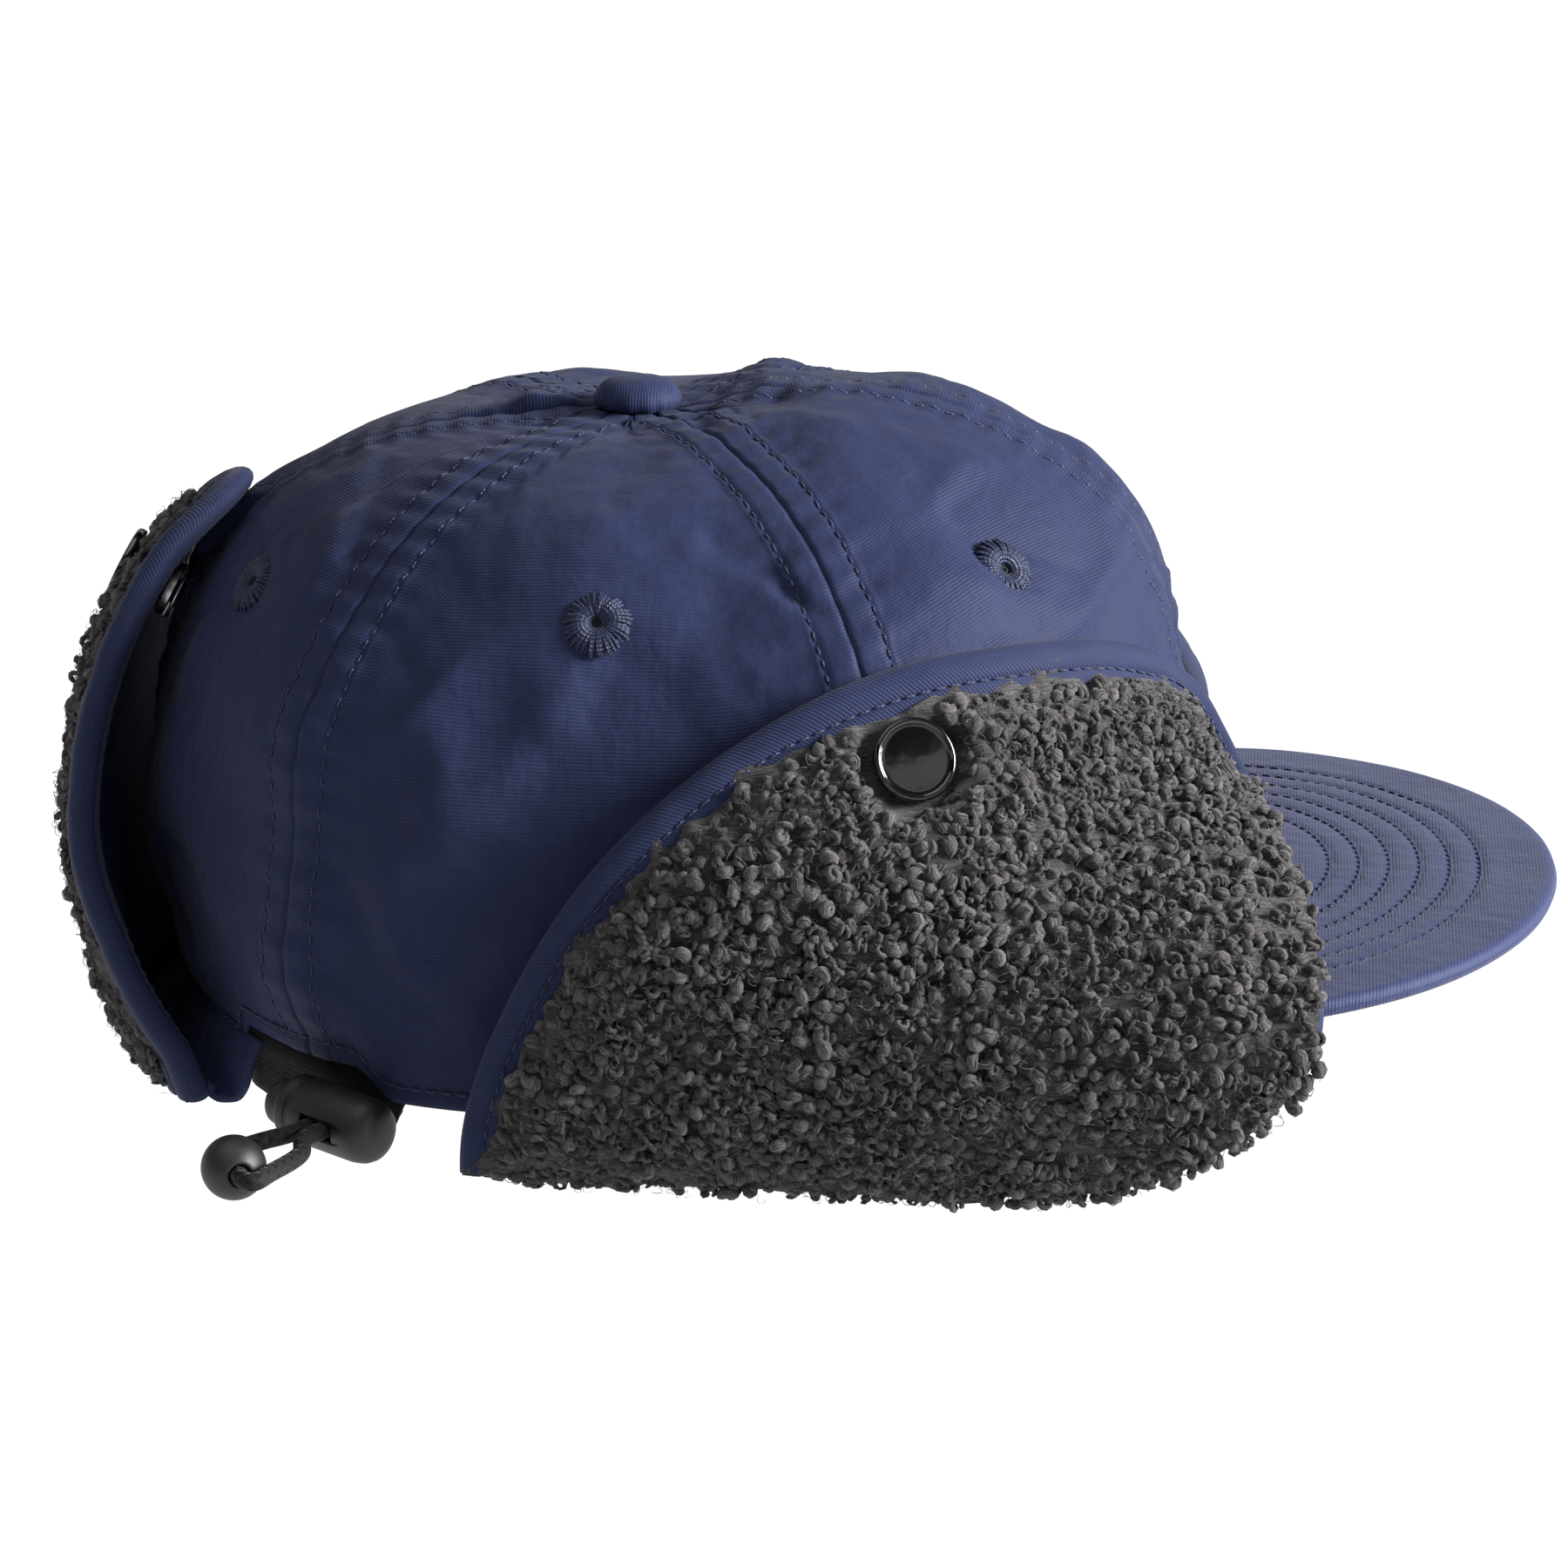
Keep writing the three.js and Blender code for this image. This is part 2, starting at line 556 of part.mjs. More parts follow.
function visorEdge(turn) {
  const y = VISOR_CORNER_Y - VISOR_LENGTH * Math.cos(turn) ** VISOR_SQUARENESS;
  const taper = 1 - VISOR_TAPER * smooth(1 + (y - VISOR_CORNER_Y) / 40);
  return new THREE.Vector3(-VISOR_HALF_WIDTH * taper * Math.sin(turn), y, 0);
}

function visorLayer(bottom, thickness, inset) {
  const face = (height) => (u, v) => {
    const side = 1 - 2 * u;
    const turn = side * (Math.PI / 2 - 0.02);
    const root = crownPoint(VISOR_CORNER_ANGLE * side, 0, 0.5 + GAP).setZ(0);
    const edge = visorEdge(turn);
    const shrink = inset / edge.distanceTo(root);
    const point = root.lerp(edge, v * (1 - shrink));
    return point.setZ(visorHeight(point.x, point.y) + height);
  };
  return solidBetween(face(bottom + thickness), face(bottom), 20, stops(3));
}
const visorUnder = -(VISOR_BOARD / 2 + GAP + VISOR_COVER);
add('visor_under_cover', visorLayer(visorUnder, VISOR_COVER, 0), visorNylon);
add('visor_board', visorLayer(-VISOR_BOARD / 2, VISOR_BOARD, 1.4), visorBoard);
add('visor_top_cover', visorLayer(VISOR_BOARD / 2 + GAP, VISOR_COVER, 0), visorNylon);

// ---- hem elastic, cord and cord lock ------------------------------------------------------
const lockCentre = new THREE.Vector3(-83, 44.8, 7.2);
const lockAxis = new THREE.Vector3(-0.57, -0.82, -0.04).normalize();
const cordAway = new THREE.Vector3().crossVectors(lockAxis, new THREE.Vector3(0, 0, 1)).normalize();
if (cordAway.y < 0) {
  cordAway.negate();
}
const beadCentre = lockCentre.clone().addScaledVector(cordAway, 26).setZ(BEAD_RADIUS + 0.2);
const beadAxis = new THREE.Vector3(-0.92, -0.38, 0.06).normalize();
const STRAND = CORD_RADIUS + 0.3;

const fromLock = (along, away, z) => lockCentre.clone()
  .addScaledVector(lockAxis, along).addScaledVector(cordAway, away).setZ(z);
const fromBead = (along, away = 0) => beadCentre.clone()
  .addScaledVector(beadAxis, along).addScaledVector(cordAway, away);

const cordRoute = [
  fromLock(STRAND, -13, 6.4), fromLock(STRAND, -7, lockCentre.z), fromLock(STRAND, 0, lockCentre.z),
  fromLock(STRAND, 10.5, lockCentre.z), fromLock(5, 14.5, 6.4), fromBead(9.4, -6), fromBead(10.6, -1.6),
  fromBead(7.2), fromBead(3), fromBead(-3), fromBead(-7), fromBead(-8.2, -3.6),
  fromLock(-STRAND - 2.2, 14.5, 6.6), fromLock(-STRAND, 10.5, lockCentre.z),
  fromLock(-STRAND, 0, lockCentre.z), fromLock(-STRAND, -7, lockCentre.z), fromLock(-STRAND, -13, 6.4),
];

function tubeAlong(route, radius, sides, steps) {
  const section = new THREE.Shape();
  for (let side = 0; side < sides; side += 1) {
    const angle = side / sides * 2 * Math.PI;
    const draw = side === 0 ? 'moveTo' : 'lineTo';
    section[draw](radius * Math.cos(angle), radius * Math.sin(angle));
  }
  const curve = new THREE.CatmullRomCurve3(route, false, 'centripetal');
  return new THREE.ExtrudeGeometry(section, { steps, extrudePath: curve, curveSegments: 1 });
}
add('cord_loop', tubeAlong(cordRoute, CORD_RADIUS, 8, 64), blackElastic, cordage);

// The hidden half of the cord: both strands run round the back inside the hem, to the left side.
const ELASTIC_DEPTH = 6.2;
const hemPoint = (azimuth, z) => crownPoint(azimuth, riseAtHeight(azimuth, z), -ELASTIC_DEPTH);
const CORD_MOUTH = 124;
const CORD_ANCHOR = 236;
const acrossBack = [0, 0.2, 0.4, 0.6, 0.8, 1].map((share) => mix(CORD_MOUTH, CORD_ANCHOR, share));
const elasticRoute = [
  ...acrossBack.map((azimuth) => hemPoint(azimuth, 14)),
  hemPoint(CORD_ANCHOR + 2, 16.5),
  ...acrossBack.toReversed().map((azimuth) => hemPoint(azimuth, 19)),
];
add('hem_elastic', tubeAlong(elasticRoute, CORD_RADIUS, 6, 40), blackElastic);

const tapeFace = (depth) => (u, v) => {
  const azimuth = mix(112, 248, u);
  return crownPoint(azimuth, riseAtHeight(azimuth, mix(11, 26, v)), -depth);
};
add('hem_tape', solidBetween(tapeFace(3.2), tapeFace(3.8), 14, [0, 1]), blackWebbing);

// The cord lock is made round Z, with the plunger's end at +Z and the cord's slot along X.
const lockHalf = LOCK_LENGTH / 2;
const slotWidth = 2 * (STRAND + CORD_RADIUS + GAP);
const slotHeight = 2 * (CORD_RADIUS + GAP);
const boreFloor = -lockHalf + LOCK_FLOOR;
const barrel = turned([
  [0, -lockHalf], [3.4, -lockHalf], [LOCK_RADIUS - 0.6, -lockHalf + 1.6], [LOCK_RADIUS, -lockHalf + 4],
  [LOCK_RADIUS, lockHalf - 1], [LOCK_RADIUS - 0.6, lockHalf], [LOCK_BORE, lockHalf],
  [LOCK_BORE, boreFloor], [0, boreFloor],
], 20);
const slot = new THREE.BoxGeometry(3 * LOCK_RADIUS, slotHeight, slotWidth);
const plungerFoot = -slotWidth / 2 - PLUNGER_FOOT;
const plungerTop = lockHalf + PLUNGER_STAND_OUT;
const plunger = turned([
  [0, plungerFoot], [PLUNGER_RADIUS, plungerFoot], [PLUNGER_RADIUS, plungerTop - 1],
  [PLUNGER_RADIUS - 1, plungerTop], [0, plungerTop],
], 18);
const plungerSlot = new THREE.BoxGeometry(3 * LOCK_RADIUS, slotHeight, slotWidth + PLUNGER_TRAVEL)
  .translate(0, 0, PLUNGER_TRAVEL / 2);
const springFoot = boreFloor + GAP + SPRING_WIRE;
const springHead = plungerFoot - GAP - SPRING_WIRE;
class SpringCoil extends THREE.Curve {
  getPoint(t, target = new THREE.Vector3()) {
    const angle = t * SPRING_TURNS * 2 * Math.PI;
    const climb = mix(springFoot, springHead, t);
    return target.set(SPRING_RADIUS * Math.cos(angle), SPRING_RADIUS * Math.sin(angle), climb);
  }
}
const wire = new THREE.Shape().absarc(0, 0, SPRING_WIRE, 0, 2 * Math.PI);
const spring = new THREE.ExtrudeGeometry(wire, {
  steps: 36, extrudePath: new SpringCoil(), curveSegments: 3,
});

// Places a lock piece in the lock: its +Z points to the plunger's end and its X lies along the cord.
function inLock(geometry) {
  const backward = lockAxis.clone().negate();
  const across = new THREE.Vector3().crossVectors(backward, cordAway);
  const basis = new THREE.Matrix4().makeBasis(cordAway, across, backward).setPosition(lockCentre);
  return geometry.applyMatrix4(basis);
}
add('cord_lock_barrel', inLock(cut(barrel, slot)), blackPlastic, cordage);
add('cord_lock_plunger', inLock(cut(plunger, plungerSlot)), blackPlastic, cordage);
add('cord_lock_spring', inLock(spring), springSteel, cordage);

const beadBore = CORD_RADIUS + 0.35;
const beadArc = Math.acos(beadBore / BEAD_RADIUS);
const beadProfile = stops(10).map((share) => {
  const angle = mix(-beadArc, beadArc, share);
  return [BEAD_RADIUS * Math.cos(angle), BEAD_RADIUS * Math.sin(angle)];
});
beadProfile.push(beadProfile[0]);
add('cord_bead', standOn(turned(beadProfile, 18), beadCentre, beadAxis), blackPlastic, cordage);

// ---- the origin: under the middle of everything but the loose cord ------------------------
const extent = new THREE.Box3().setFromObject(hat);
const capAndCord = new THREE.Group();
capAndCord.add(hat, cordage);
capAndCord.position.set(
  -(extent.min.x + extent.max.x) / 2,
  -(extent.min.y + extent.max.y) / 2,
  -extent.min.z,
);

export default capAndCord;
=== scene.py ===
"""Trapper hat: detailed fabric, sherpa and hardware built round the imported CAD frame.

Shapes are worked out in millimetres from the middle of the crown, +Z up and the visor along -Y,
and moved to the frame's own origin, in metres, when a mesh is made.
"""
import itertools
import math

import bpy
import mathutils
import numpy as np
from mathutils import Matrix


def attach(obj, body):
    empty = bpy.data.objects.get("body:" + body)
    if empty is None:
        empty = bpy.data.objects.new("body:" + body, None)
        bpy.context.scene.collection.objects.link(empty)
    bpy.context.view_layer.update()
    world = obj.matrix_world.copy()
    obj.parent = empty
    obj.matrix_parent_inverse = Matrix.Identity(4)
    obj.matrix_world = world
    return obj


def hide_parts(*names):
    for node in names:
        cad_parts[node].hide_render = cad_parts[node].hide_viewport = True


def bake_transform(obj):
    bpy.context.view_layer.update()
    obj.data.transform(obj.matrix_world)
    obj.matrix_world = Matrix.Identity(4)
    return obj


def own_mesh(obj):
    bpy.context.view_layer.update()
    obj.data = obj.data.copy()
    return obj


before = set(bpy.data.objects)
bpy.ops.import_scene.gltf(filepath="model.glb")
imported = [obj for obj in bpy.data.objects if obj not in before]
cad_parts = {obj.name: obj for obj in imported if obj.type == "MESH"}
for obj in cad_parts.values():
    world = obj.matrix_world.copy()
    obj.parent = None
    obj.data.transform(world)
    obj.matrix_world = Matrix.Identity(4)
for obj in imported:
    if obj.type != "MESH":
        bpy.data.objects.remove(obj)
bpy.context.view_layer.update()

MM = 0.001                              # one millimetre, in the metres of the meshes

# ---- dimensions, in millimetres, as in the CAD model ------------------------------------------
ORIGIN = np.array([0.0, 32.675, 0.0])   # crown's middle, seen from the frame's origin
HALF_WIDTH, FRONT_REACH, BACK_REACH = 87.0, 104.0, 96.0
CROWN_TOP, CROWN_HOLE = 117.5, 5.0
FRONT_FULLNESS, LEFT_FULLNESS, BACK_TUCK, PANEL_FLATNESS = 26.0, 0.9, 0.12, 0.025
HEM_SIDE, HEM_FRONT = 9.5, 29.0
SEAMS = [0, 60, 126, 180, 234, 300, 360]
PANELS = ["front_right", "side_right", "back_right", "back_left", "side_left", "front_left"]
PANEL_THICKNESS = 1.5

VISOR_HALF_WIDTH, VISOR_LENGTH, VISOR_CORNER_Y = 87.0, 111.0, -60.0
VISOR_TIP_Y = VISOR_CORNER_Y - VISOR_LENGTH
VISOR_CORNER_ANGLE, VISOR_MID_HEIGHT, VISOR_TIP_RISE = 50.0, 31.0, 1.5
VISOR_CAMBER, VISOR_CORNER_DROP, VISOR_CORNER_BLEND = 1.5, 10.0, 64.0
VISOR_TAPER, VISOR_SQUARENESS = 0.22, 0.7
VISOR_HALF_THICKNESS = 1.75

FLAP_SHELL, FLAP_LENGTH, FLAP_REAR_Y = 1.2, 145.0, 22.0
FLAP_REAR_ANGLE, FLAP_FRONT_ANGLE = 106.0, 14.0
LEFT_FLAP_SET_BACK, LEFT_FLAP_TURN = 24.0, 16.0
FLAP_FOOT_X, FLAP_FOOT_SWELL, FLAP_STANDOFF, FLAP_FOOT_Z = 89.0, 4.0, 4.0, 1.8
EDGE_BAND = 5.2
PILE_EDGE, PILE_AT_SNAP, SNAP_SEAT, SNAP_HOLE = 3.8, 5.0, 7.9, 2.4
BACK_FLAP_STANDOFF = 4.7
EYELETS = {"front": (35, 96.5), "side": (90, 94), "back": (152, 92)}


# ---- small helpers ----------------------------------------------------------------------------
def smooth(value):
    value = np.clip(value, 0, 1)
    return value * value * (3 - 2 * value)


def mix(a, b, share):
    return a + (b - a) * share


def unit(vectors):
    return vectors / np.maximum(np.linalg.norm(vectors, axis=-1, keepdims=True), 1e-12)


def in_frame(points):
    """Crown millimetres to the frame's own metres."""
    return (np.asarray(points, float) + ORIGIN) * MM


def bump_at(distance, width):
    return np.exp(-((distance / width) ** 2))


def travelled(points, axis=0):
    """Distance run so far along one axis of a grid of points."""
    steps = np.linalg.norm(np.diff(points, axis=axis), axis=-1)
    return np.concatenate([np.zeros_like(np.take(steps, [0], axis)), np.cumsum(steps, axis=axis)], axis=axis)


class Noise:
    """Smooth value noise, from -1 to 1, that is the same on every run."""

    SIZE = 4096

    def __init__(self, seed):
        self.table = np.random.default_rng(seed).random(self.SIZE) * 2 - 1

    def __call__(self, points, scale=1.0):
        points = np.asarray(points, float) * scale
        cell = np.floor(points).astype(np.int64)
        share = points - cell
        share = share * share * (3 - 2 * share)
        total = np.zeros(points.shape[:-1])
        for corner in itertools.product((0, 1), repeat=3):
            key = (cell[..., 0] + corner[0]) * 73856093
            key = key ^ ((cell[..., 1] + corner[1]) * 19349663)
            key = key ^ ((cell[..., 2] + corner[2]) * 83492791)
            weight = np.ones(points.shape[:-1])
            for axis in range(3):
                weight = weight * (share[..., axis] if corner[axis] else 1 - share[..., axis])
            total += weight * self.table[key % self.SIZE]
        return total


noise = Noise(11)


def flat_noise(a, b, scale, layer=0.0):
    """Noise over a flat sheet. Sheets with different layers get different noise."""
    return noise(np.stack(np.broadcast_arrays(a, b, layer), -1), scale)


# ---- the crown's surface ----------------------------------------------------------------------
# Azimuth is in degrees: 0 at the front seam, 90 at the wearer's right, 180 at the back seam.
# Rise is 0 at the hem and 1 at the top, along the panel.
def hem_height(azimuth):
    forward = np.cos(np.radians(azimuth))
    return HEM_SIDE + (HEM_FRONT - HEM_SIDE) * smooth((forward - 0.25) / 0.7)


def crown_power(azimuth):
    forward, leftward = np.cos(np.radians(azimuth)), -np.sin(np.radians(azimuth))
    ends = 0.65 * np.maximum(0, forward) ** 2 + 0.2 * np.maximum(0, -forward) ** 2
    return 2.75 + ends + LEFT_FULLNESS * np.maximum(0, leftward)


def panel_share(azimuth):
    """How far across its panel an azimuth lies, from 0 to 1."""
    turn = np.mod(azimuth, 360)
    number = np.clip(np.searchsorted(SEAMS, turn, side="right") - 1, 0, 5)
    seams = np.array(SEAMS, float)
    return (turn - seams[number]) / (seams[number + 1] - seams[number])


def crown_skin(azimuth, rise):
    azimuth, rise = np.broadcast_arrays(np.asarray(azimuth, float), np.asarray(rise, float))
    angle = np.radians(azimuth)
    forward = np.cos(angle)
    power = crown_power(azimuth)
    lift = rise * math.pi / 2
    radial = np.maximum(np.cos(lift), 0) ** (2 / power)
    height = np.sin(np.maximum(lift, 0)) ** (2 / power)
    tuck = BACK_TUCK * (1 - height) ** 4 * smooth(-forward * 1.4)
    reach = np.where(forward > 0, FRONT_REACH, BACK_REACH) * (1 - tuck)
    flat = 1 - PANEL_FLATNESS * (1 - np.cos(2 * math.pi * panel_share(azimuth))) / 2
    hem = hem_height(azimuth)
    puff = FRONT_FULLNESS * radial * (1 - radial) * smooth(radial / 0.35)
    puff = puff * np.maximum(0, forward) ** 1.4
    return np.stack([
        -HALF_WIDTH * flat * radial * np.sin(angle),
        -reach * flat * radial * forward,
        hem + (CROWN_TOP - hem) * height + puff,
    ], axis=-1)


def crown_normal(azimuth, rise):
    at = np.clip(rise, 0.03, 0.985)
    along_azimuth = crown_skin(azimuth + 0.2, at) - crown_skin(azimuth - 0.2, at)
    along_rise = crown_skin(azimuth, at + 0.004) - crown_skin(azimuth, at - 0.004)
    return unit(np.cross(along_rise, along_azimuth))


def crown_point(azimuth, rise, offset=0.0):
    offset = np.asarray(offset, float)[..., None]
    return crown_skin(azimuth, rise) + crown_normal(azimuth, rise) * offset


def rise_at_height(azimuth, z):
    hem = hem_height(azimuth)
    share = np.clip((z - hem) / (CROWN_TOP - hem), 0, 1)
    return np.arcsin(share ** (crown_power(azimuth) / 2)) / (math.pi / 2)


def rise_at_radius(azimuth, radius):
    return np.arccos((radius / HALF_WIDTH) ** (crown_power(azimuth) / 2)) / (math.pi / 2)


def lee_of_seam(points):
    """The right front seam stands proud, and the side panel falls away behind it."""
    turn = np.degrees(np.arctan2(-points[..., 0] / HALF_WIDTH, -points[..., 1] / FRONT_REACH))
    reach = np.where(turn > 60, 11.0, 24.0)
    return 3.0 * bump_at(turn - 60, reach) * smooth((points[..., 2] - 30) / 25) * smooth((115 - points[..., 2]) / 22)


def crown_relief(points):
    """How far the soft cloth stands off the smooth crown: broad slumps, folds and sharp creases."""
    side = np.where(points[..., 0] < 0, 1.0, -1.0)
    down = 0.64 * points[..., 1] - 0.77 * points[..., 2]
    over = 0.77 * points[..., 1] + 0.64 * points[..., 2]
    folds = noise(np.stack([down / 46, over / 16, points[..., 0] / 60 + 3 * side], -1))
    fading = smooth(0.45 + 1.2 * noise(points + 31, 1 / 27))
    ridge = 0.35 - np.sqrt(4 * folds ** 2 + 0.012)
    drape = noise(np.stack([over / 40 + 9, down / 13, points[..., 0] / 50 + 5 * side], -1))
    crease = -np.exp(-((drape / 0.16) ** 2)) * smooth(0.3 + 1.3 * noise(points + 77, 1 / 24))
    slump = 2.2 * noise(points, 1 / 36) + 0.9 * noise(points + 50, 1 / 13)
    relief = 0.5 + slump + 2.0 * folds + 3.2 * ridge * fading + 1.2 * drape + 1.7 * crease
    relief = relief + 0.3 * noise(points + 90, 1 / 5) + lee_of_seam(points)
    relief = np.where(relief < -1.1, -1.1 + 0.1 * (relief + 1.1), relief)
    return np.where(relief > 3.3, 3.3 + 0.25 * (relief - 3.3), relief)


# ---- meshes -----------------------------------------------------------------------------------
def make_mesh(name, points, faces, materials, body, hides=(), uv=None, tones=None,
              face_materials=None, tail=None):
    """A mesh object from points in crown millimetres and an array of faces. tail holds faces with more
    corners, such as end caps, and materials is one or more names from M."""
    mesh = bpy.data.meshes.new(name)
    points = in_frame(points).reshape(-1, 3)
    groups = [np.asarray(faces)] + ([np.asarray(tail)] if tail is not None and len(tail) else [])
    corners = np.concatenate([group.ravel() for group in groups])
    totals = np.concatenate([np.full(len(group), group.shape[1]) for group in groups])
    mesh.vertices.add(len(points))
    mesh.vertices.foreach_set("co", points.astype(np.float32).ravel())
    mesh.loops.add(len(corners))
    mesh.loops.foreach_set("vertex_index", corners.astype(np.int32))
    mesh.polygons.add(len(totals))
    mesh.polygons.foreach_set("loop_start", (np.cumsum(totals) - totals).astype(np.int32))
    mesh.polygons.foreach_set("use_smooth", np.ones(len(totals), bool))
    if uv is not None:
        layer = mesh.uv_layers.new(name="cloth")
        layer.data.foreach_set("uv", np.asarray(uv, np.float32).reshape(-1, 2)[corners].ravel())
    if tones is not None:
        attribute = mesh.attributes.new("tone", "FLOAT", "POINT")
        attribute.data.foreach_set("value", np.asarray(tones, np.float32).ravel())
    for material in materials.split():
        mesh.materials.append(M[material])
    if face_materials is not None:
        mesh.polygons.foreach_set("material_index", np.asarray(face_materials, np.int32))
    mesh.update()
    mesh.validate()
    piece = bpy.data.objects.new(name, mesh)
    bpy.context.collection.objects.link(piece)
    if hides:
        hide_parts(*hides)
    if body:
        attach(piece, body)
    return piece


def grid_faces(rows, columns, wrap=False, start=0):
    """Quads of a grid of points. A wrapped grid joins its last column to its first."""
    across = columns if wrap else columns - 1
    row, column = np.meshgrid(np.arange(rows - 1), np.arange(across), indexing="ij")
    after = (column + 1) % columns
    a, b = row * columns + column, row * columns + after
    c, d = (row + 1) * columns + after, (row + 1) * columns + column
    return np.stack([a, b, c, d], axis=-1).reshape(-1, 4) + start


def end_caps(rows, columns):
    """The two faces that close a wrapped grid's first and last rows."""
    return np.stack([np.arange(columns)[::-1], np.arange(columns) + (rows - 1) * columns])


def closed_sheet(outer, inner, wrap=False):
    """Points and faces of the closed solid between two grids of points, faces turned outward."""
    rows, columns = outer.shape[:2]
    count = rows * columns
    faces = [grid_faces(rows, columns, wrap), grid_faces(rows, columns, wrap, count)[:, ::-1]]
    number = np.arange(count).reshape(rows, columns)
    edges = [(number[0], 1), (number[-1], -1)]
    if not wrap:
        edges += [(number[:, 0], -1), (number[:, -1], 1)]
    for edge, turn in edges:
        edge = np.append(edge, edge[0]) if wrap else edge
        a, b = edge[:-1], edge[1:]
        quads = np.stack([b, a, a + count, b + count], axis=-1)
        faces.append(quads if turn > 0 else quads[:, ::-1])
    points = np.concatenate([outer.reshape(-1, 3), inner.reshape(-1, 3)])
    faces = np.concatenate(faces)
    a, b, c = (points[faces[:, k]] for k in (0, 1, 2))
    d = points[faces[:, 3]]
    volume = np.sum(a * np.cross(b, c)) + np.sum(a * np.cross(c, d))
    return points, faces if volume > 0 else faces[:, ::-1]


def make_sheet(name, outer, inner, across, along_it, material, body, hides, wrap=False, tones=None):
    """A sheet of cloth between two grids of points, with distances across and along it as its UV."""
    points, faces = closed_sheet(outer, inner, wrap)
    uv = np.concatenate([np.stack(np.broadcast_arrays(across, along_it), -1).reshape(-1, 2)] * 2)
    return make_mesh(name, points, faces, material, body, hides, uv=uv, tones=tones)


def tubes(paths, radii, sides, up=None):
    """Many tubes at once. paths is (tubes, steps, 3), radii (tubes, steps) or a number.
    Returns points, quads, end caps, and per point the tube's number and place along and round it."""
    paths = np.asarray(paths, float)
    many, steps = paths.shape[:2]
    radii = np.broadcast_to(radii, (many, steps))
    tangent = unit(np.gradient(paths, axis=1))
    up = np.array([0.31, 0.17, 0.93]) if up is None else up
    up = np.broadcast_to(up, paths.shape)
    across = unit(np.cross(up, tangent))
    other = np.cross(tangent, across)
    angle = np.arange(sides) / sides * 2 * math.pi
    ring = (across[:, :, None] * np.cos(angle)[:, None] + other[:, :, None] * np.sin(angle)[:, None])
    points = paths[:, :, None] + ring * radii[:, :, None, None]
    per_tube = steps * sides
    quads = grid_faces(steps, sides, wrap=True)
    quads = (quads[None] + np.arange(many)[:, None, None] * per_tube).reshape(-1, 4)
    caps = (end_caps(steps, sides)[None] + np.arange(many)[:, None, None] * per_tube).reshape(-1, sides)
    place = np.stack(np.broadcast_arrays(travelled(paths, 1)[:, :, None], angle[None, None]), axis=-1)
    number = np.repeat(np.arange(many), per_tube)
    return points.reshape(-1, 3), quads, caps, number, place.reshape(-1, 2)


def along(points, distances):
    """Points at the given distances along a polyline of points (or of any other values)."""
    length = travelled(points[:, :3])
    return np.stack([np.interp(distances, length, points[:, k]) for k in range(points.shape[1])], -1)


def length_of(points):
    return float(np.sum(np.linalg.norm(np.diff(points[:, :3], axis=0), axis=-1)))


STITCH_PITCH, STITCH_LENGTH, STITCH_LIFT, STITCH_DIP, THREAD_RADIUS = 2.9, 2.2, 0.15, 0.5, 0.24


def stitch_paths(line, normals):
    """Short threads that come up, lie along a line of points, and go down again."""
    both = np.concatenate([line, normals], axis=1)
    total = length_of(line)
    count = max(1, int((total - STITCH_LENGTH) / STITCH_PITCH))
    starts = (total - STITCH_LENGTH - (count - 1) * STITCH_PITCH) / 2 + np.arange(count) * STITCH_PITCH
    share = np.linspace(0, 1, 6)
    places = starts[:, None] + share[None] * STITCH_LENGTH
    values = along(both, places.ravel()).reshape(count, len(share), 6)
    height = STITCH_LIFT - STITCH_DIP * (2 * share - 1) ** 4
    return values[..., :3] + unit(values[..., 3:]) * height[None, :, None]


def stitching(name, rows, body):
    """One object of all the stitches along several rows of (points, normals)."""
    paths = np.concatenate([stitch_paths(line, normals) for line, normals in rows])
    points, quads, caps, _, uv = tubes(paths, THREAD_RADIUS, 5)
    make_mesh(name, points, quads, "thread", body, uv=uv, tail=caps)


def lathe_mesh(profile, segments=48, closed=False):
    """Points, quads and end caps of a piece turned round Z from (radius, height) pairs.
    A closed profile meets itself and has no caps."""
    angle = np.arange(segments) / segments * 2 * math.pi
    radius, height = np.array(profile, float).T[..., None]
    points = np.stack([radius * np.cos(angle), radius * np.sin(angle), height + 0 * angle], axis=-1)
    rows = len(profile)
    quads = grid_faces(rows, segments, wrap=True)
    if not closed:
        return points.reshape(-1, 3), quads, end_caps(rows, segments)
    first = np.arange(segments)
    after = (first + 1) % segments
    last = (rows - 1) * segments
    bridge = np.stack([last + first, last + after, after, first], -1)
    return points.reshape(-1, 3), np.concatenate([quads, bridge]), None


def stand(points, place, axis):
    """Turns points so that their Z lies along axis, and moves them to a place."""
    z = unit(np.asarray(axis, float))
    x = np.cross([0.0, 0.0, 1.0], z)
    if np.linalg.norm(x) < 0.1:
        x = np.cross([0.0, 1.0, 0.0], z)
    x = unit(x)
    return points @ np.stack([x, np.cross(z, x), z]) + place


def turned(name, profile, segments, placed, material, body, hides, closed=False, capped=True):
    """A turned piece, put in its place by the function placed."""
    points, quads, caps = lathe_mesh(profile, segments, closed)
    tail = caps if capped else None
    return make_mesh(name, placed(points), quads, material, body, hides, tail=tail)


def rounded(profile):
    """Cuts each inner corner of a profile into a short curve."""
    result = [profile[0]]
    for before, corner, after in zip(profile, profile[1:], profile[2:]):
        before, corner, after = (np.array(p, float) for p in (before, corner, after))
        reach_a = min(0.3, np.linalg.norm(before - corner) / 2.2)
        reach_b = min(0.3, np.linalg.norm(after - corner) / 2.2)
        start = corner + unit(before - corner) * reach_a
        end = corner + unit(after - corner) * reach_b
        for share in np.linspace(0, 1, 4):
            result.append(tuple(mix(mix(start, corner, share), mix(corner, end, share), share)))
    return result + [profile[-1]]


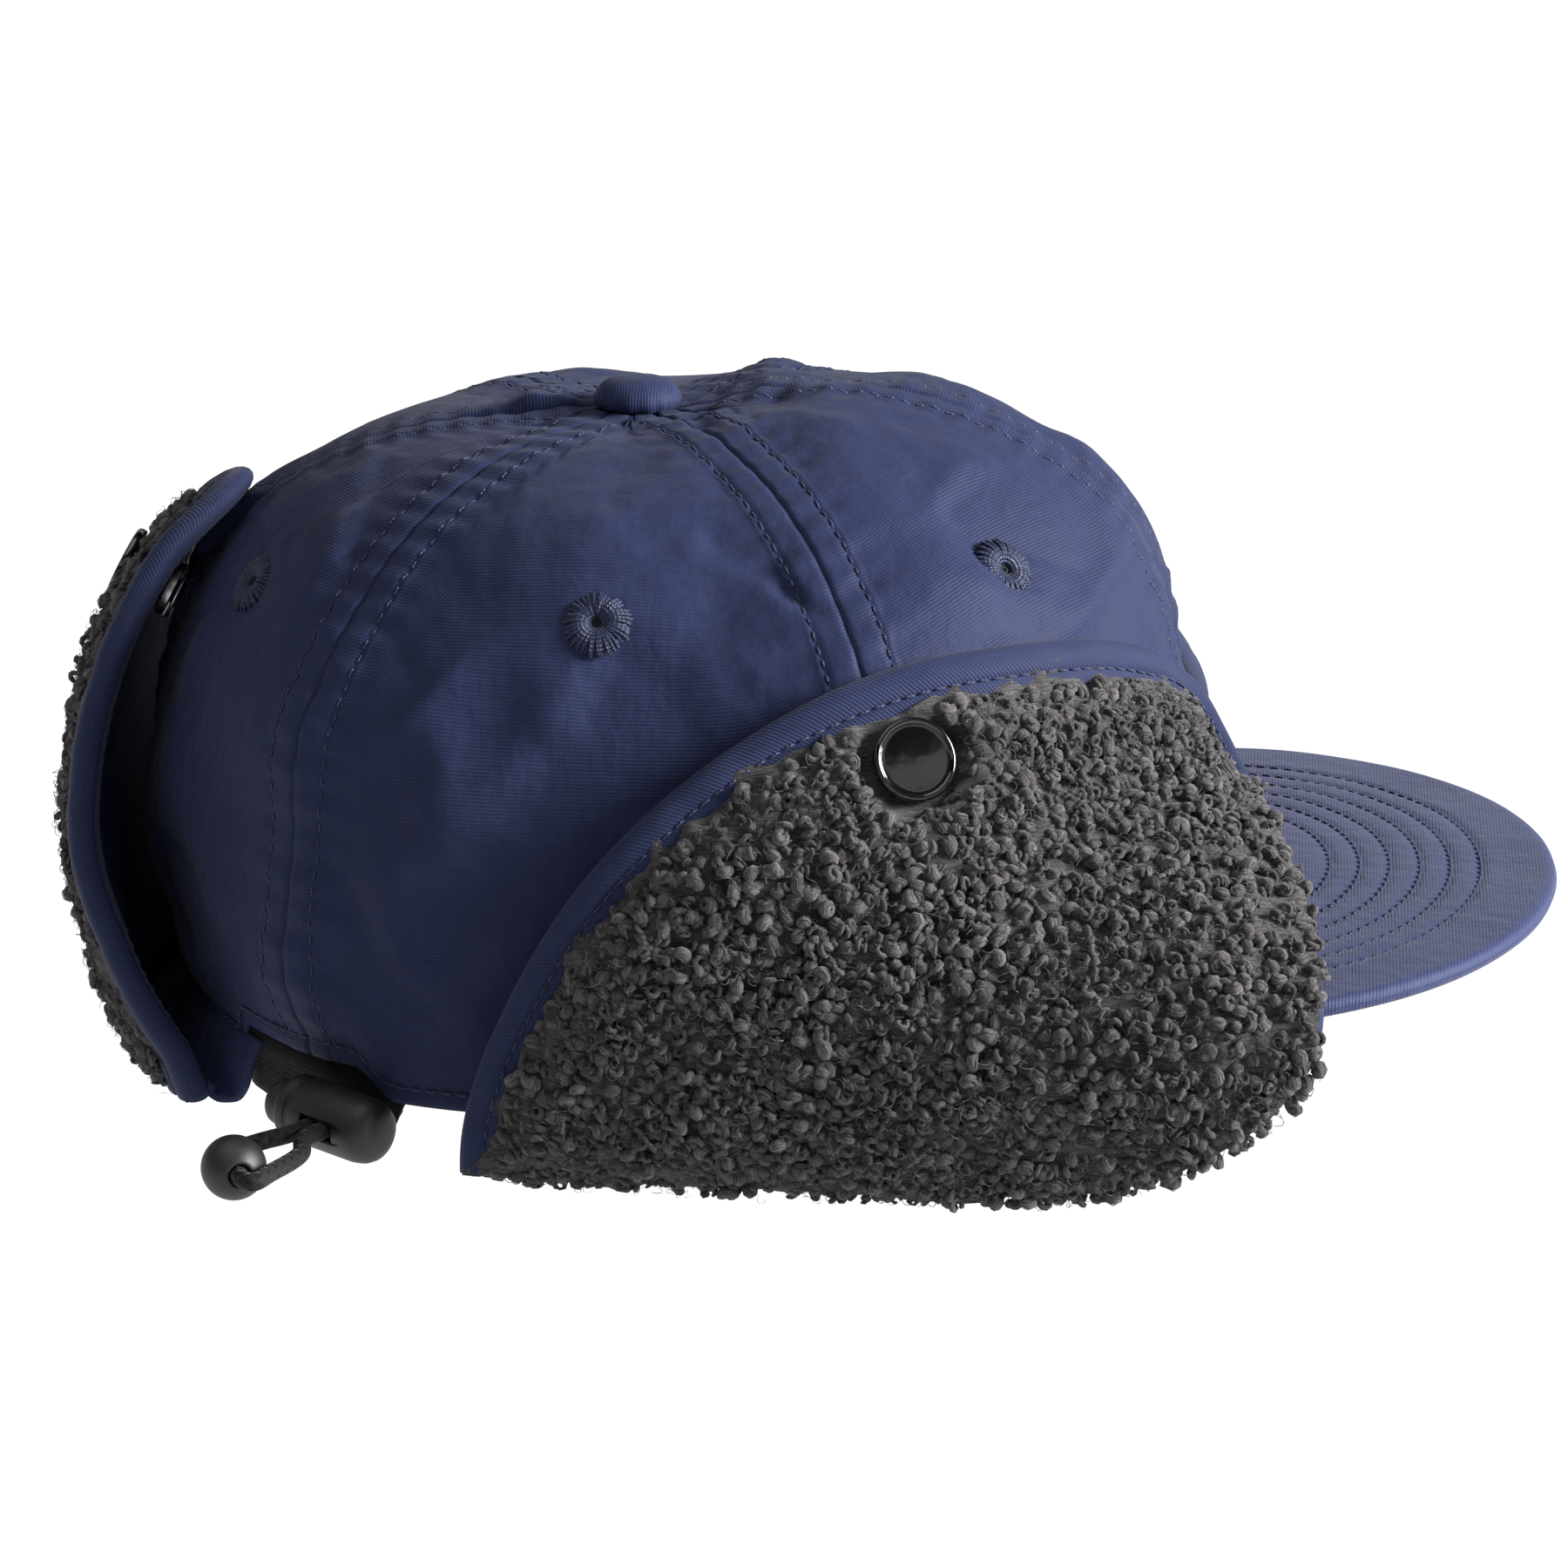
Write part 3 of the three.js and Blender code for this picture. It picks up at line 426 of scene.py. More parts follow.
# ---- materials --------------------------------------------------------------------------------
class Shader:
    """A small builder for node materials."""

    def __init__(self, name, roughness=0.6, metallic=0.0, sheen=0.0, sheen_roughness=0.4,
                 specular=0.5, coat=0.0, coat_roughness=0.1):
        self.material = bpy.data.materials.new(name)
        self.material.use_nodes = True
        self.tree = self.material.node_tree
        self.shader = self.tree.nodes["Principled BSDF"]
        for socket, value in {
            "Roughness": roughness, "Metallic": metallic, "Sheen Weight": sheen,
            "Sheen Roughness": sheen_roughness, "Specular IOR Level": specular,
            "Coat Weight": coat, "Coat Roughness": coat_roughness,
        }.items():
            self.shader.inputs[socket].default_value = value

    def node(self, kind, settings=None, **inputs):
        node = self.tree.nodes.new("ShaderNode" + kind)
        for key, value in (settings or {}).items():
            setattr(node, key, value)
        for key, value in inputs.items():
            socket = node.inputs[int(key[1:])] if key[0] == "i" and key[1:].isdigit() else (
                node.inputs[key.replace("_", " ")])
            if hasattr(value, "is_output"):
                self.tree.links.new(value, socket)
            else:
                socket.default_value = value
        return node

    def math(self, operation, a, b=0.0, c=0.0):
        return self.node("Math", {"operation": operation}, i0=a, i1=b, i2=c).outputs[0]

    def uv(self, scale=(1.0, 1.0), turn=0.0):
        source = self.node("UVMap", {"uv_map": "cloth"}).outputs[0]
        return self.node("Mapping", Vector=source, Scale=(*scale, 1.0), Rotation=(0.0, 0.0, turn)).outputs[0]

    def split(self, vector):
        return self.node("SeparateXYZ", Vector=vector).outputs

    def place(self):
        """Where a point lies on the object at rest, in millimetres."""
        source = self.node("TexCoord").outputs["Object"]
        return self.node("Mapping", Vector=source, Scale=(1 / MM,) * 3).outputs[0]

    def noise(self, vector, scale, detail=2.0, roughness=0.5):
        return self.node("TexNoise", Vector=vector, Scale=scale, Detail=detail,
                         Roughness=roughness).outputs[0]

    def ramp(self, value, low, high, low_colour, high_colour):
        """Goes from one colour to the other as value goes from low to high."""
        share = self.node("MapRange", {"clamp": True}, Value=value, From_Min=low, From_Max=high).outputs[0]
        return self.node("Mix", {"data_type": "RGBA"}, i0=share, i6=(*low_colour, 1.0),
                         i7=(*high_colour, 1.0)).outputs[2]

    def tint(self, colour, value, low, high):
        """Multiplies a colour by a factor that goes from low to high as value goes from 0 to 1."""
        factor = self.node("MapRange", {"clamp": True}, Value=value, To_Min=low, To_Max=high).outputs[0]
        grey = self.node("CombineColor", Red=factor, Green=factor, Blue=factor).outputs[0]
        return self.node("Mix", {"data_type": "RGBA", "blend_type": "MULTIPLY"}, i0=1.0, i6=colour, i7=grey).outputs[2]

    def bump(self, height, distance, strength=1.0, normal=None):
        inputs = {"Height": height, "Distance": distance * MM, "Strength": strength}
        if normal is not None:
            inputs["Normal"] = normal
        return self.node("Bump", **inputs).outputs[0]

    def done(self, colour, roughness, normal):
        for socket, value in (("Base Color", colour), ("Roughness", roughness), ("Normal", normal)):
            if value is not None:
                self.tree.links.new(value, self.shader.inputs[socket])
        return self.material


def scaled(colour, factor):
    return tuple(min(1.0, c * factor) for c in colour)


def woven(name, colour, pitch=0.64, ribs=0.5, fade=0.12, roughness=0.64, sheen=0.04, specular=0.14):
    """Fine ribbed cloth: a strong rib across the warp, finer threads along it, slubs and wear."""
    s = Shader(name, roughness=roughness, sheen=sheen, sheen_roughness=0.45, specular=specular)
    uv = s.uv()
    parts = s.split(uv)
    wander = s.noise(uv, 0.35, 2.0)
    rib = s.math("MULTIPLY_ADD", parts[1], 2 * math.pi / pitch, s.math("MULTIPLY", wander, 1.2))
    rib = s.math("SINE", rib)
    thread = s.math("SINE", s.math("MULTIPLY_ADD", parts[0], 2 * math.pi / (pitch * 0.62),
                                   s.math("MULTIPLY", rib, 0.9)))
    height = s.math("MULTIPLY_ADD", thread, ribs * 0.5, rib)
    slub, cross = (s.noise(s.uv(scale), 1.0, 3.0, 0.6) for scale in ((0.09, 1.3), (1.1, 0.11)))
    cloud = s.noise(s.place(), 0.03, 3.0)
    base = s.ramp(s.math("ADD", slub, cross), 0.7, 1.3, scaled(colour, 1 - fade), scaled(colour, 1 + fade))
    base = s.tint(base, cloud, 0.88, 1.12)
    # Painted shade: the colour is darker in the rib's valleys and lighter on its crests.
    base = s.tint(base, s.math("MULTIPLY_ADD", height, 0.33, 0.5), 0.92, 1.07)
    rough = s.math("MULTIPLY_ADD", slub, 0.12, roughness - 0.06)
    crinkle = s.bump(s.noise(s.place(), 0.25, 3.0), 0.35)
    normal = s.bump(height, 0.024, 1.0, crinkle)
    return s.done(base, rough, normal)


def twill(name, colour):
    """Bias-cut twill: even diagonal ridges."""
    s = Shader(name, roughness=0.68, sheen=0.06, sheen_roughness=0.5, specular=0.13)
    uv = s.uv(turn=math.radians(52))
    parts = s.split(uv)
    ridge = s.math("SINE", s.math("MULTIPLY_ADD", parts[1], 2 * math.pi / 0.62,
                                  s.math("MULTIPLY", s.noise(uv, 0.8), 1.2)))
    grain = s.math("SINE", s.math("MULTIPLY", parts[0], 2 * math.pi / 0.5))
    height = s.math("MULTIPLY_ADD", grain, 0.25, ridge)
    base = s.ramp(s.noise(s.uv(scale=(0.15, 1.0)), 1.0, 3.0), 0.3, 0.7, scaled(colour, 0.88), scaled(colour, 1.12))
    # Painted shade: the colour is darker between the ridges and lighter on them.
    base = s.tint(base, s.math("MULTIPLY_ADD", height, 0.4, 0.5), 0.86, 1.1)
    return s.done(base, None, s.bump(height, 0.035))


def threads(name, colour, roughness=0.5):
    """Twisted sewing thread. U runs along the thread and V round it."""
    s = Shader(name, roughness=roughness, sheen=0.1, specular=0.3)
    parts = s.split(s.uv())
    twist = s.math("SINE", s.math("MULTIPLY_ADD", parts[0], 9.0, s.math("MULTIPLY", parts[1], 2.0)))
    # Painted shade: the thread is darker in the grooves of its twist and lighter on the plies.
    base = s.ramp(twist, -1.0, 1.0, scaled(colour, 0.72), scaled(colour, 1.15))
    return s.done(base, None, s.bump(twist, 0.05))


def wool(name, dark, light):
    """Curled wool pile. U runs along each lock and V round it, and tone differs from lock to lock."""
    s = Shader(name, roughness=0.9, sheen=0.3, sheen_roughness=0.35, specular=0.15)
    fibres = s.noise(s.uv(scale=(0.5, 3.2), turn=0.3), 1.0, 3.0, 0.65)
    fibres = s.math("MULTIPLY_ADD", fibres, 3.2, -1.1)
    tone = s.node("Attribute", {"attribute_name": "tone"}).outputs["Fac"]
    base = s.ramp(tone, 0.0, 1.0, dark, light)
    base = s.tint(base, fibres, 0.35, 1.8)
    fuzz = s.noise(s.place(), 2.2, 4.0, 0.75)
    base = s.tint(base, fuzz, 0.6, 1.4)
    normal = s.bump(fibres, 0.2, 1.0, s.bump(fuzz, 0.4))
    return s.done(base, None, normal)


def moulded(name, colour, roughness):
    """Moulded plastic with a fine grain and scuffs."""
    s = Shader(name, roughness=roughness)
    speck = s.noise(s.place(), 3.0, 4.0, 0.6)
    scuff = s.noise(s.place(), 0.35, 4.0, 0.65)
    base = s.tint(s.ramp(speck, 0.3, 0.7, scaled(colour, 0.9), scaled(colour, 1.15)), scuff, 0.85, 1.2)
    rough = s.math("MULTIPLY_ADD", scuff, 0.22, roughness - 0.11)
    return s.done(base, rough, s.bump(speck, 0.03))


def enamel(name, colour):
    """Glossy black enamel with the faint ripple and dust of real paint."""
    s = Shader(name, roughness=0.1, coat=0.6, coat_roughness=0.03)
    ripple = s.noise(s.place(), 0.22, 2.0)
    dust = s.noise(s.place(), 6.0, 5.0, 0.8)
    base = s.ramp(dust, 0.68, 0.8, colour, scaled(colour, 4.0))
    rough = s.math("MULTIPLY_ADD", dust, 0.12, 0.04)
    return s.done(base, rough, s.bump(ripple, 0.12))


def steel(name):
    """Bright metal, faintly brushed."""
    s = Shader(name, roughness=0.32, metallic=1.0)
    brushed = s.noise(s.place(), 1.8, 5.0, 0.7)
    base = s.ramp(brushed, 0.3, 0.7, (0.42, 0.43, 0.45), (0.66, 0.67, 0.69))
    rough = s.math("MULTIPLY_ADD", brushed, 0.2, 0.22)
    return s.done(base, rough, s.bump(brushed, 0.02))


def braid(name, colour):
    """Round braid: two sets of strands that cross. U is along the cord and V its angle."""
    s = Shader(name, roughness=0.8, sheen=0.06, specular=0.22)
    parts = s.split(s.uv())
    lay = s.math("MULTIPLY", parts[0], 2 * math.pi / 2.6)
    turns = s.math("MULTIPLY", parts[1], 4.0)
    one = s.math("SINE", s.math("ADD", lay, turns))
    two = s.math("SINE", s.math("SUBTRACT", lay, turns))
    height = s.math("MAXIMUM", one, two)
    # Painted shade and highlight: the strands' crests are lighter and the grooves where they cross darker.
    base = s.ramp(height, -0.6, 1.0, scaled(colour, 0.6), scaled(colour, 1.25))
    base = s.tint(base, s.noise(s.place(), 2.0, 4.0), 0.8, 1.25)
    return s.done(base, None, s.bump(height, 0.14))


NAVY = (0.0135, 0.0187, 0.055)
VISOR_NAVY = (0.0248, 0.0325, 0.088)
BIND_NAVY = (0.0142, 0.0195, 0.057)
M = {
    "nylon": woven("navy_nylon", NAVY),
    "visor": woven("visor_nylon", VISOR_NAVY, pitch=0.6, fade=0.05, roughness=0.58, sheen=0.1),
    "twill": twill("binding_twill", BIND_NAVY),
    "thread": threads("navy_thread", (0.0173, 0.024, 0.0667)),
    "embroidery": threads("navy_embroidery", (0.012, 0.0173, 0.052), roughness=0.42),
    "lining": woven("lining_taffeta", (0.008, 0.0093, 0.0213), pitch=0.4, roughness=0.5),
    "sweat": twill("sweatband_twill", (0.0093, 0.0107, 0.0227)),
    "tape": woven("lining_tape", (0.0053, 0.006, 0.0093), pitch=1.1, ribs=0.8, roughness=0.75),
    "wool": wool("sherpa_curls", (0.044, 0.0406, 0.041), (0.1077, 0.0993, 0.1)),
    # Pale fibre colour, much paler than the wool: a painted highlight for the light that catches the pile's fibres.
    "fuzz": wool("sherpa_pale_fibre_highlight", (0.0986, 0.091, 0.0918), (0.2578, 0.2426, 0.2442)),
    # The ground is coloured darker than the locks: painted shade for the crevices between them.
    "pad": wool("sherpa_ground_painted_shade", (0.0258, 0.0239, 0.0242), (0.0652, 0.0606, 0.0614)),
    "web": woven("black_webbing", (0.0047, 0.0047, 0.006), pitch=1.0, ribs=0.9, roughness=0.8),
    "cord": braid("black_braid", (0.0067, 0.0067, 0.008)),
    "plastic": moulded("black_plastic", (0.0053, 0.0053, 0.006), roughness=0.52),
    # A darker, matte copy of the navy for the flap's shell. The darkening is painted shade for the gap between the flap
    # and the crown.
    "inside": woven("flap_nylon_shaded", scaled(NAVY, 0.85), roughness=0.95, sheen=0.0, specular=0.06),
    "enamel": enamel("black_enamel", (0.0027, 0.0027, 0.0033)),
    "steel": steel("bright_steel"),
    "board": moulded("visor_board", (0.62, 0.62, 0.58), roughness=0.55),
    # Near-black for the disc in each eyelet's hole: painted shade where the open hole looks dark.
    "dark": moulded("eyelet_hole_shade", (0.0013, 0.0013, 0.002), roughness=0.9),
}

# ---- crown panels -----------------------------------------------------------------------------
SEAM_STEPS = np.array([0, 0.25, 0.6, 1.1, 1.8, 2.8, 4.0, 5.0, 5.5, 5.9, 6.3, 6.8, 7.6, 9.0])
PANEL_MIDDLE, PANEL_ROWS = 62, 128
STITCH_FROM_SEAM = 5.7
HEM_STITCH_HEIGHT = 3.2


def seam_relief(distance, run):
    """Groove at the seam, the folded allowance beside it, and the pucker of its stitching."""
    groove = -0.5 * bump_at(distance, 0.5)
    allowance = 0.42 * (1 - smooth((distance - 6.1) / 1.0))
    row = -0.4 * bump_at(distance - STITCH_FROM_SEAM, 0.55)
    pucker = 0.3 * np.sin(2 * math.pi * run / 6.3) * np.exp(-((distance - 5.0) / 6.0) ** 2)
    return groove + allowance + row + pucker


def hem_lift(azimuth):
    """How far the elastic draws the hem up above the cord lock, in millimetres."""
    return 5.5 * smooth((azimuth - 113) / 6) * smooth((144 - azimuth) / 4)


def rise_above_hem(azimuth, height):
    return rise_at_height(azimuth, hem_height(azimuth) + hem_lift(azimuth) + height)


def panel_grid(number):
    """Azimuth, rise, distance from the nearer seam and run up the panel at each grid point."""
    start, end = SEAMS[number], SEAMS[number + 1]
    share = np.linspace(0, 1, 41)
    azimuths = start + (end - start) * share
    top = rise_at_radius(azimuths, CROWN_HOLE)
    even = np.linspace(0, 1, PANEL_ROWS)
    rows = even ** 1.47 / (even ** 1.47 + (1 - even) ** 1.47)
    azimuth, rise, distance = [], [], []
    for v in rows:
        line = crown_skin(azimuths, v * top)
        length = travelled(line)
        width = length[-1]
        steps = SEAM_STEPS * min(1.0, width / 2 / (SEAM_STEPS[-1] + 0.8))
        middle = np.linspace(steps[-1], width - steps[-1], PANEL_MIDDLE + 2)[1:-1]
        across = np.concatenate([steps, middle, width - steps[::-1]])
        azimuth.append(start + (end - start) * np.interp(across, length, share))
        rise.append(mix(rise_above_hem(azimuth[-1], 0.0), rise_at_radius(azimuth[-1], CROWN_HOLE), v))
        distance.append(np.minimum(across, width - across))
    azimuth, rise, distance = (np.array(value) for value in (azimuth, rise, distance))
    return azimuth, rise, distance, travelled(crown_skin(azimuth, rise))


# azimuth and height of each snap's stud, and how far round it the cloth is calm
STUDS = [(57.8, 70.5, 9), (286.2, 70.5, 9), (180, 82, 4)]


CALM_ABOVE_HEM, STUD_CLEARANCE = 14, 4.5


def crown_surface(azimuth, rise, distance, run):
    """The outer face of the cloth, calm at the hem, under the button and round the studs."""
    skin = crown_skin(azimuth, rise)
    calm = smooth(run / CALM_ABOVE_HEM) * smooth((1 - rise) / 0.07)
    for stud_turn, stud_height, reach in STUDS:
        stud = crown_skin(stud_turn, rise_at_height(stud_turn, stud_height))
        calm = calm * smooth((np.linalg.norm(skin - stud, axis=-1) - STUD_CLEARANCE) / reach)
    hem_groove = 0.35 * bump_at(run - HEM_STITCH_HEIGHT, 0.6)
    offset = crown_relief(skin) * calm + seam_relief(distance, run) - hem_groove
    return skin + crown_normal(azimuth, rise) * offset[..., None]


stitch_rows = []
for number, name in enumerate(PANELS):
    azimuth, rise, distance, run = panel_grid(number)
    outer = crown_surface(azimuth, rise, distance, run)
    inner = crown_point(azimuth, rise, -PANEL_THICKNESS)
    columns_in_all = distance.shape[1]
    middle = columns_in_all // 2
    from_middle = np.sign(np.arange(columns_in_all) - middle + 0.5) * (
        np.max(distance, axis=1, keepdims=True) - distance)
    make_sheet(f"panel_{name}", outer, inner, from_middle, run, "nylon", "hat", [f"crown_panel_{name}"])
    normals = crown_normal(azimuth, rise)
    for columns in (slice(0, middle), slice(columns_in_all - 1, middle - 1, -1)):
        lines = []
        for row in range(PANEL_ROWS):
            values = np.concatenate([outer[row, columns], normals[row, columns]], axis=1)
            if distance[row, columns][-1] > STITCH_FROM_SEAM + 0.4:
                lines.append([np.interp(STITCH_FROM_SEAM, distance[row, columns], values[:, k]) for k in range(6)])
        lines = np.array(lines)[1:]
        stitch_rows.append((lines[:, :3], lines[:, 3:]))
stitching("crown_topstitch", stitch_rows, "hat")

hem_turn = np.linspace(0, 360, 721)
hem_rise = rise_above_hem(hem_turn, HEM_STITCH_HEIGHT)
hem_line = crown_point(hem_turn, hem_rise, 0.25)
stitching("hem_topstitch", [(hem_line, crown_normal(hem_turn, hem_rise))], "hat")

# ---- lining and sweatband inside --------------------------------------------------------------
RING_COLUMNS = 180
GIRTH_PER_RADIAN = 88                   # for the weave's scale


def crown_ring(name, rises, outer, inner, material, hides, ripple):
    """A ring of cloth inside the crown, between two depths behind its skin."""
    turn, rise = np.meshgrid(np.linspace(0, 360, RING_COLUMNS + 1)[:-1], rises)
    skin = crown_skin(turn, rise)
    wave = ripple * noise(skin, 1 / 9)
    face = crown_normal(turn, rise)
    make_sheet(name, skin - face * (outer + wave)[..., None], skin - face * (inner + wave)[..., None],
               np.radians(turn) * GIRTH_PER_RADIAN, travelled(skin), material, "hat", hides, wrap=True)


crown_ring("inner_lining", np.linspace(0.06, 0.9, 60), 3.2, 4.0, "lining", ["crown_lining"], 0.3)
band_rises = np.concatenate([[0.004, 0.006], np.linspace(0.01, 0.085, 14), [0.089, 0.091]])
band_puff = 0.5 * np.sin(np.linspace(0, math.pi, len(band_rises)))[:, None]
crown_ring("inner_sweatband", band_rises, 8.6, 9.6 + band_puff, "sweat", ["sweatband"], 0.15)

# ---- top button -------------------------------------------------------------------------------
BUTTON_BASE = CROWN_TOP + 0.7
button_profile = [(5.2, -0.2), (6.9, -0.1), (7.7, 0.35), (8.05, 1.1), (7.95, 2.0), (7.5, 3.0), (6.7, 3.9),
                  (5.6, 4.6), (4.2, 5.05), (2.8, 5.3), (1.4, 5.42), (0.02, 5.45)]
points, quads, caps = lathe_mesh(button_profile, 72)
angle = np.arctan2(points[:, 1], points[:, 0])
radius = np.hypot(points[:, 0], points[:, 1])
gather = 0.16 * np.sin(angle * 17 + 2 * np.sin(angle * 3)) * smooth((radius - 4) / 4)
gather = gather * smooth(1.6 - points[:, 2] / 2.4)
points[:, :2] *= (1 + gather / np.maximum(radius, 1))[:, None]
points[:, 2] += 0.12 * noise(points, 0.35)
uv = points[:, :2] * 1.15
points = points + np.array([0, 0, BUTTON_BASE])
make_mesh("fabric_button", points, quads, "nylon", "hat", ["top_button"], uv=uv, tail=caps)
rivet_profile = rounded([(0.01, -3.2), (7, -3.2), (7, -2.2), (1.8, -2.2), (1.8, 0.2), (0.01, 0.2)])
turned("button_rivet", rivet_profile, 48, lambda points: points + np.array([0, 0, CROWN_TOP]), "steel", "hat",
       ["top_button_rivet"])

# ---- eyelets ----------------------------------------------------------------------------------
EYELET_THREADS = 62
eyelet_random = np.random.default_rng(5)
for place, (turn, height) in EYELETS.items():
    for side, azimuth in (("right", turn), ("left", 360 - turn)):
        rise = rise_at_height(azimuth, height)
        spot = crown_skin(azimuth, rise)
        spot = spot + crown_normal(azimuth, rise) * crown_relief(spot)
        axis = crown_normal(azimuth, rise)
        angle = np.arange(EYELET_THREADS) / EYELET_THREADS * 2 * math.pi
        angle = angle + eyelet_random.normal(0, 0.02, EYELET_THREADS)
        lean = angle + eyelet_random.normal(0, 0.05, EYELET_THREADS)
        reach = 5.5 + 0.5 * eyelet_random.random(EYELET_THREADS) + 0.35 * (np.arange(EYELET_THREADS) % 2)
        share = np.linspace(0, 1, 8)
        radius = mix(1.0, reach[:, None], share)
        lift = -0.5 + 1.75 * np.sin(np.clip(share * 1.25 + 0.12, 0, 1.37) * math.pi / 1.37) ** 0.7
        lift = lift + 0.12 * eyelet_random.random(EYELET_THREADS)[:, None]
        heading = mix(angle[:, None], lean[:, None], share)
        paths = np.stack([radius * np.cos(heading), radius * np.sin(heading), lift], -1)
        paths = stand(paths, spot, axis)
        points, quads, caps, number, uv = tubes(paths, 0.24 + 0.1 * share[None], 5, up=axis)
        pad, pad_quads, _ = lathe_mesh([(1.0, 0.0), (1.05, 0.35), (1.8, 0.75), (3.6, 0.75), (5.0, 0.4), (5.4, 0.0)],
                                       36, closed=True)
        # A near-black disc in the hole: painted shade of the open hole.
        hole, hole_quads, _ = lathe_mesh([(1.3, 0.05), (1.3, 0.22), (0.4, 0.25)], 24)
        shift = len(points)
        all_points = np.concatenate([points, stand(pad, spot, axis), stand(hole, spot, axis)])
        all_quads = np.concatenate([quads, pad_quads + shift, hole_quads + shift + len(pad)])
        all_uv = np.concatenate([uv, np.zeros((len(pad) + len(hole), 2))])
        shade = np.concatenate([np.zeros(len(quads) + len(pad_quads)), np.ones(len(hole_quads)), np.zeros(len(caps))])
        make_mesh(f"eyelet_{place}_{side}_stitched", all_points, all_quads, "embroidery dark", "hat",
                  [f"eyelet_{place}_{side}"], uv=all_uv, tail=caps, face_materials=shade)


# ---- flaps ------------------------------------------------------------------------------------
def bezier(p0, p1, p2, p3, steps):
    t = np.linspace(0, 1, steps + 1)[:, None]
    p0, p1, p2, p3 = (np.array(p, float) for p in (p0, p1, p2, p3))
    return (1 - t) ** 3 * p0 + 3 * (1 - t) ** 2 * t * p1 + 3 * (1 - t) * t * t * p2 + t ** 3 * p3


EAR_CURVES = [((0, 1.8), (0, 34), (38, 86), (90, 86)), ((90, 86), (126, 86), (153, 80), (153, 48)),
              ((153, 48), (153, 18), (130, 1.8), (94, 1.8))]
BACK_CURVES = [((-57, 1.8), (-57, 42), (-28, 102), (0, 102)), ((0, 102), (28, 102), (57, 42), (57, 1.8))]


def ear_foot(side, q):
    swell = FLAP_FOOT_SWELL * np.sin(math.pi * np.clip(q / FLAP_LENGTH * 0.8, 0, 1))
    return -side * (FLAP_FOOT_X + swell), FLAP_REAR_Y + (LEFT_FLAP_SET_BACK if side < 0 else 0) - q


def ear_sheet(side):
    def sheet(q, z):
        from_front = mix(FLAP_REAR_ANGLE, FLAP_FRONT_ANGLE, q / FLAP_LENGTH)
        azimuth = from_front if side > 0 else 360 - from_front - LEFT_FLAP_TURN
        on_crown = crown_point(azimuth, rise_at_height(azimuth, z), FLAP_STANDOFF)
        x, y = ear_foot(side, q)
        foot = np.stack([x, y, z], axis=-1)
        return mix(foot, on_crown, smooth((z / 90 - 0.3) / 0.55)[..., None])
    return sheet


def back_sheet(q, z):
    turn = np.full(np.shape(q), 180.0)
    crown = crown_skin(turn, rise_at_height(turn, z))[..., 1]
    standoff = BACK_FLAP_STANDOFF + 5 * np.maximum(0, 1 - z / 30) - 2.0 * smooth((z - 90) / 12)
    bend = 0.0012 + 0.0059 * np.maximum(0, 1 - z / 50) ** 1.5
    return np.stack([q, crown + standoff - bend * q * q, z], axis=-1)


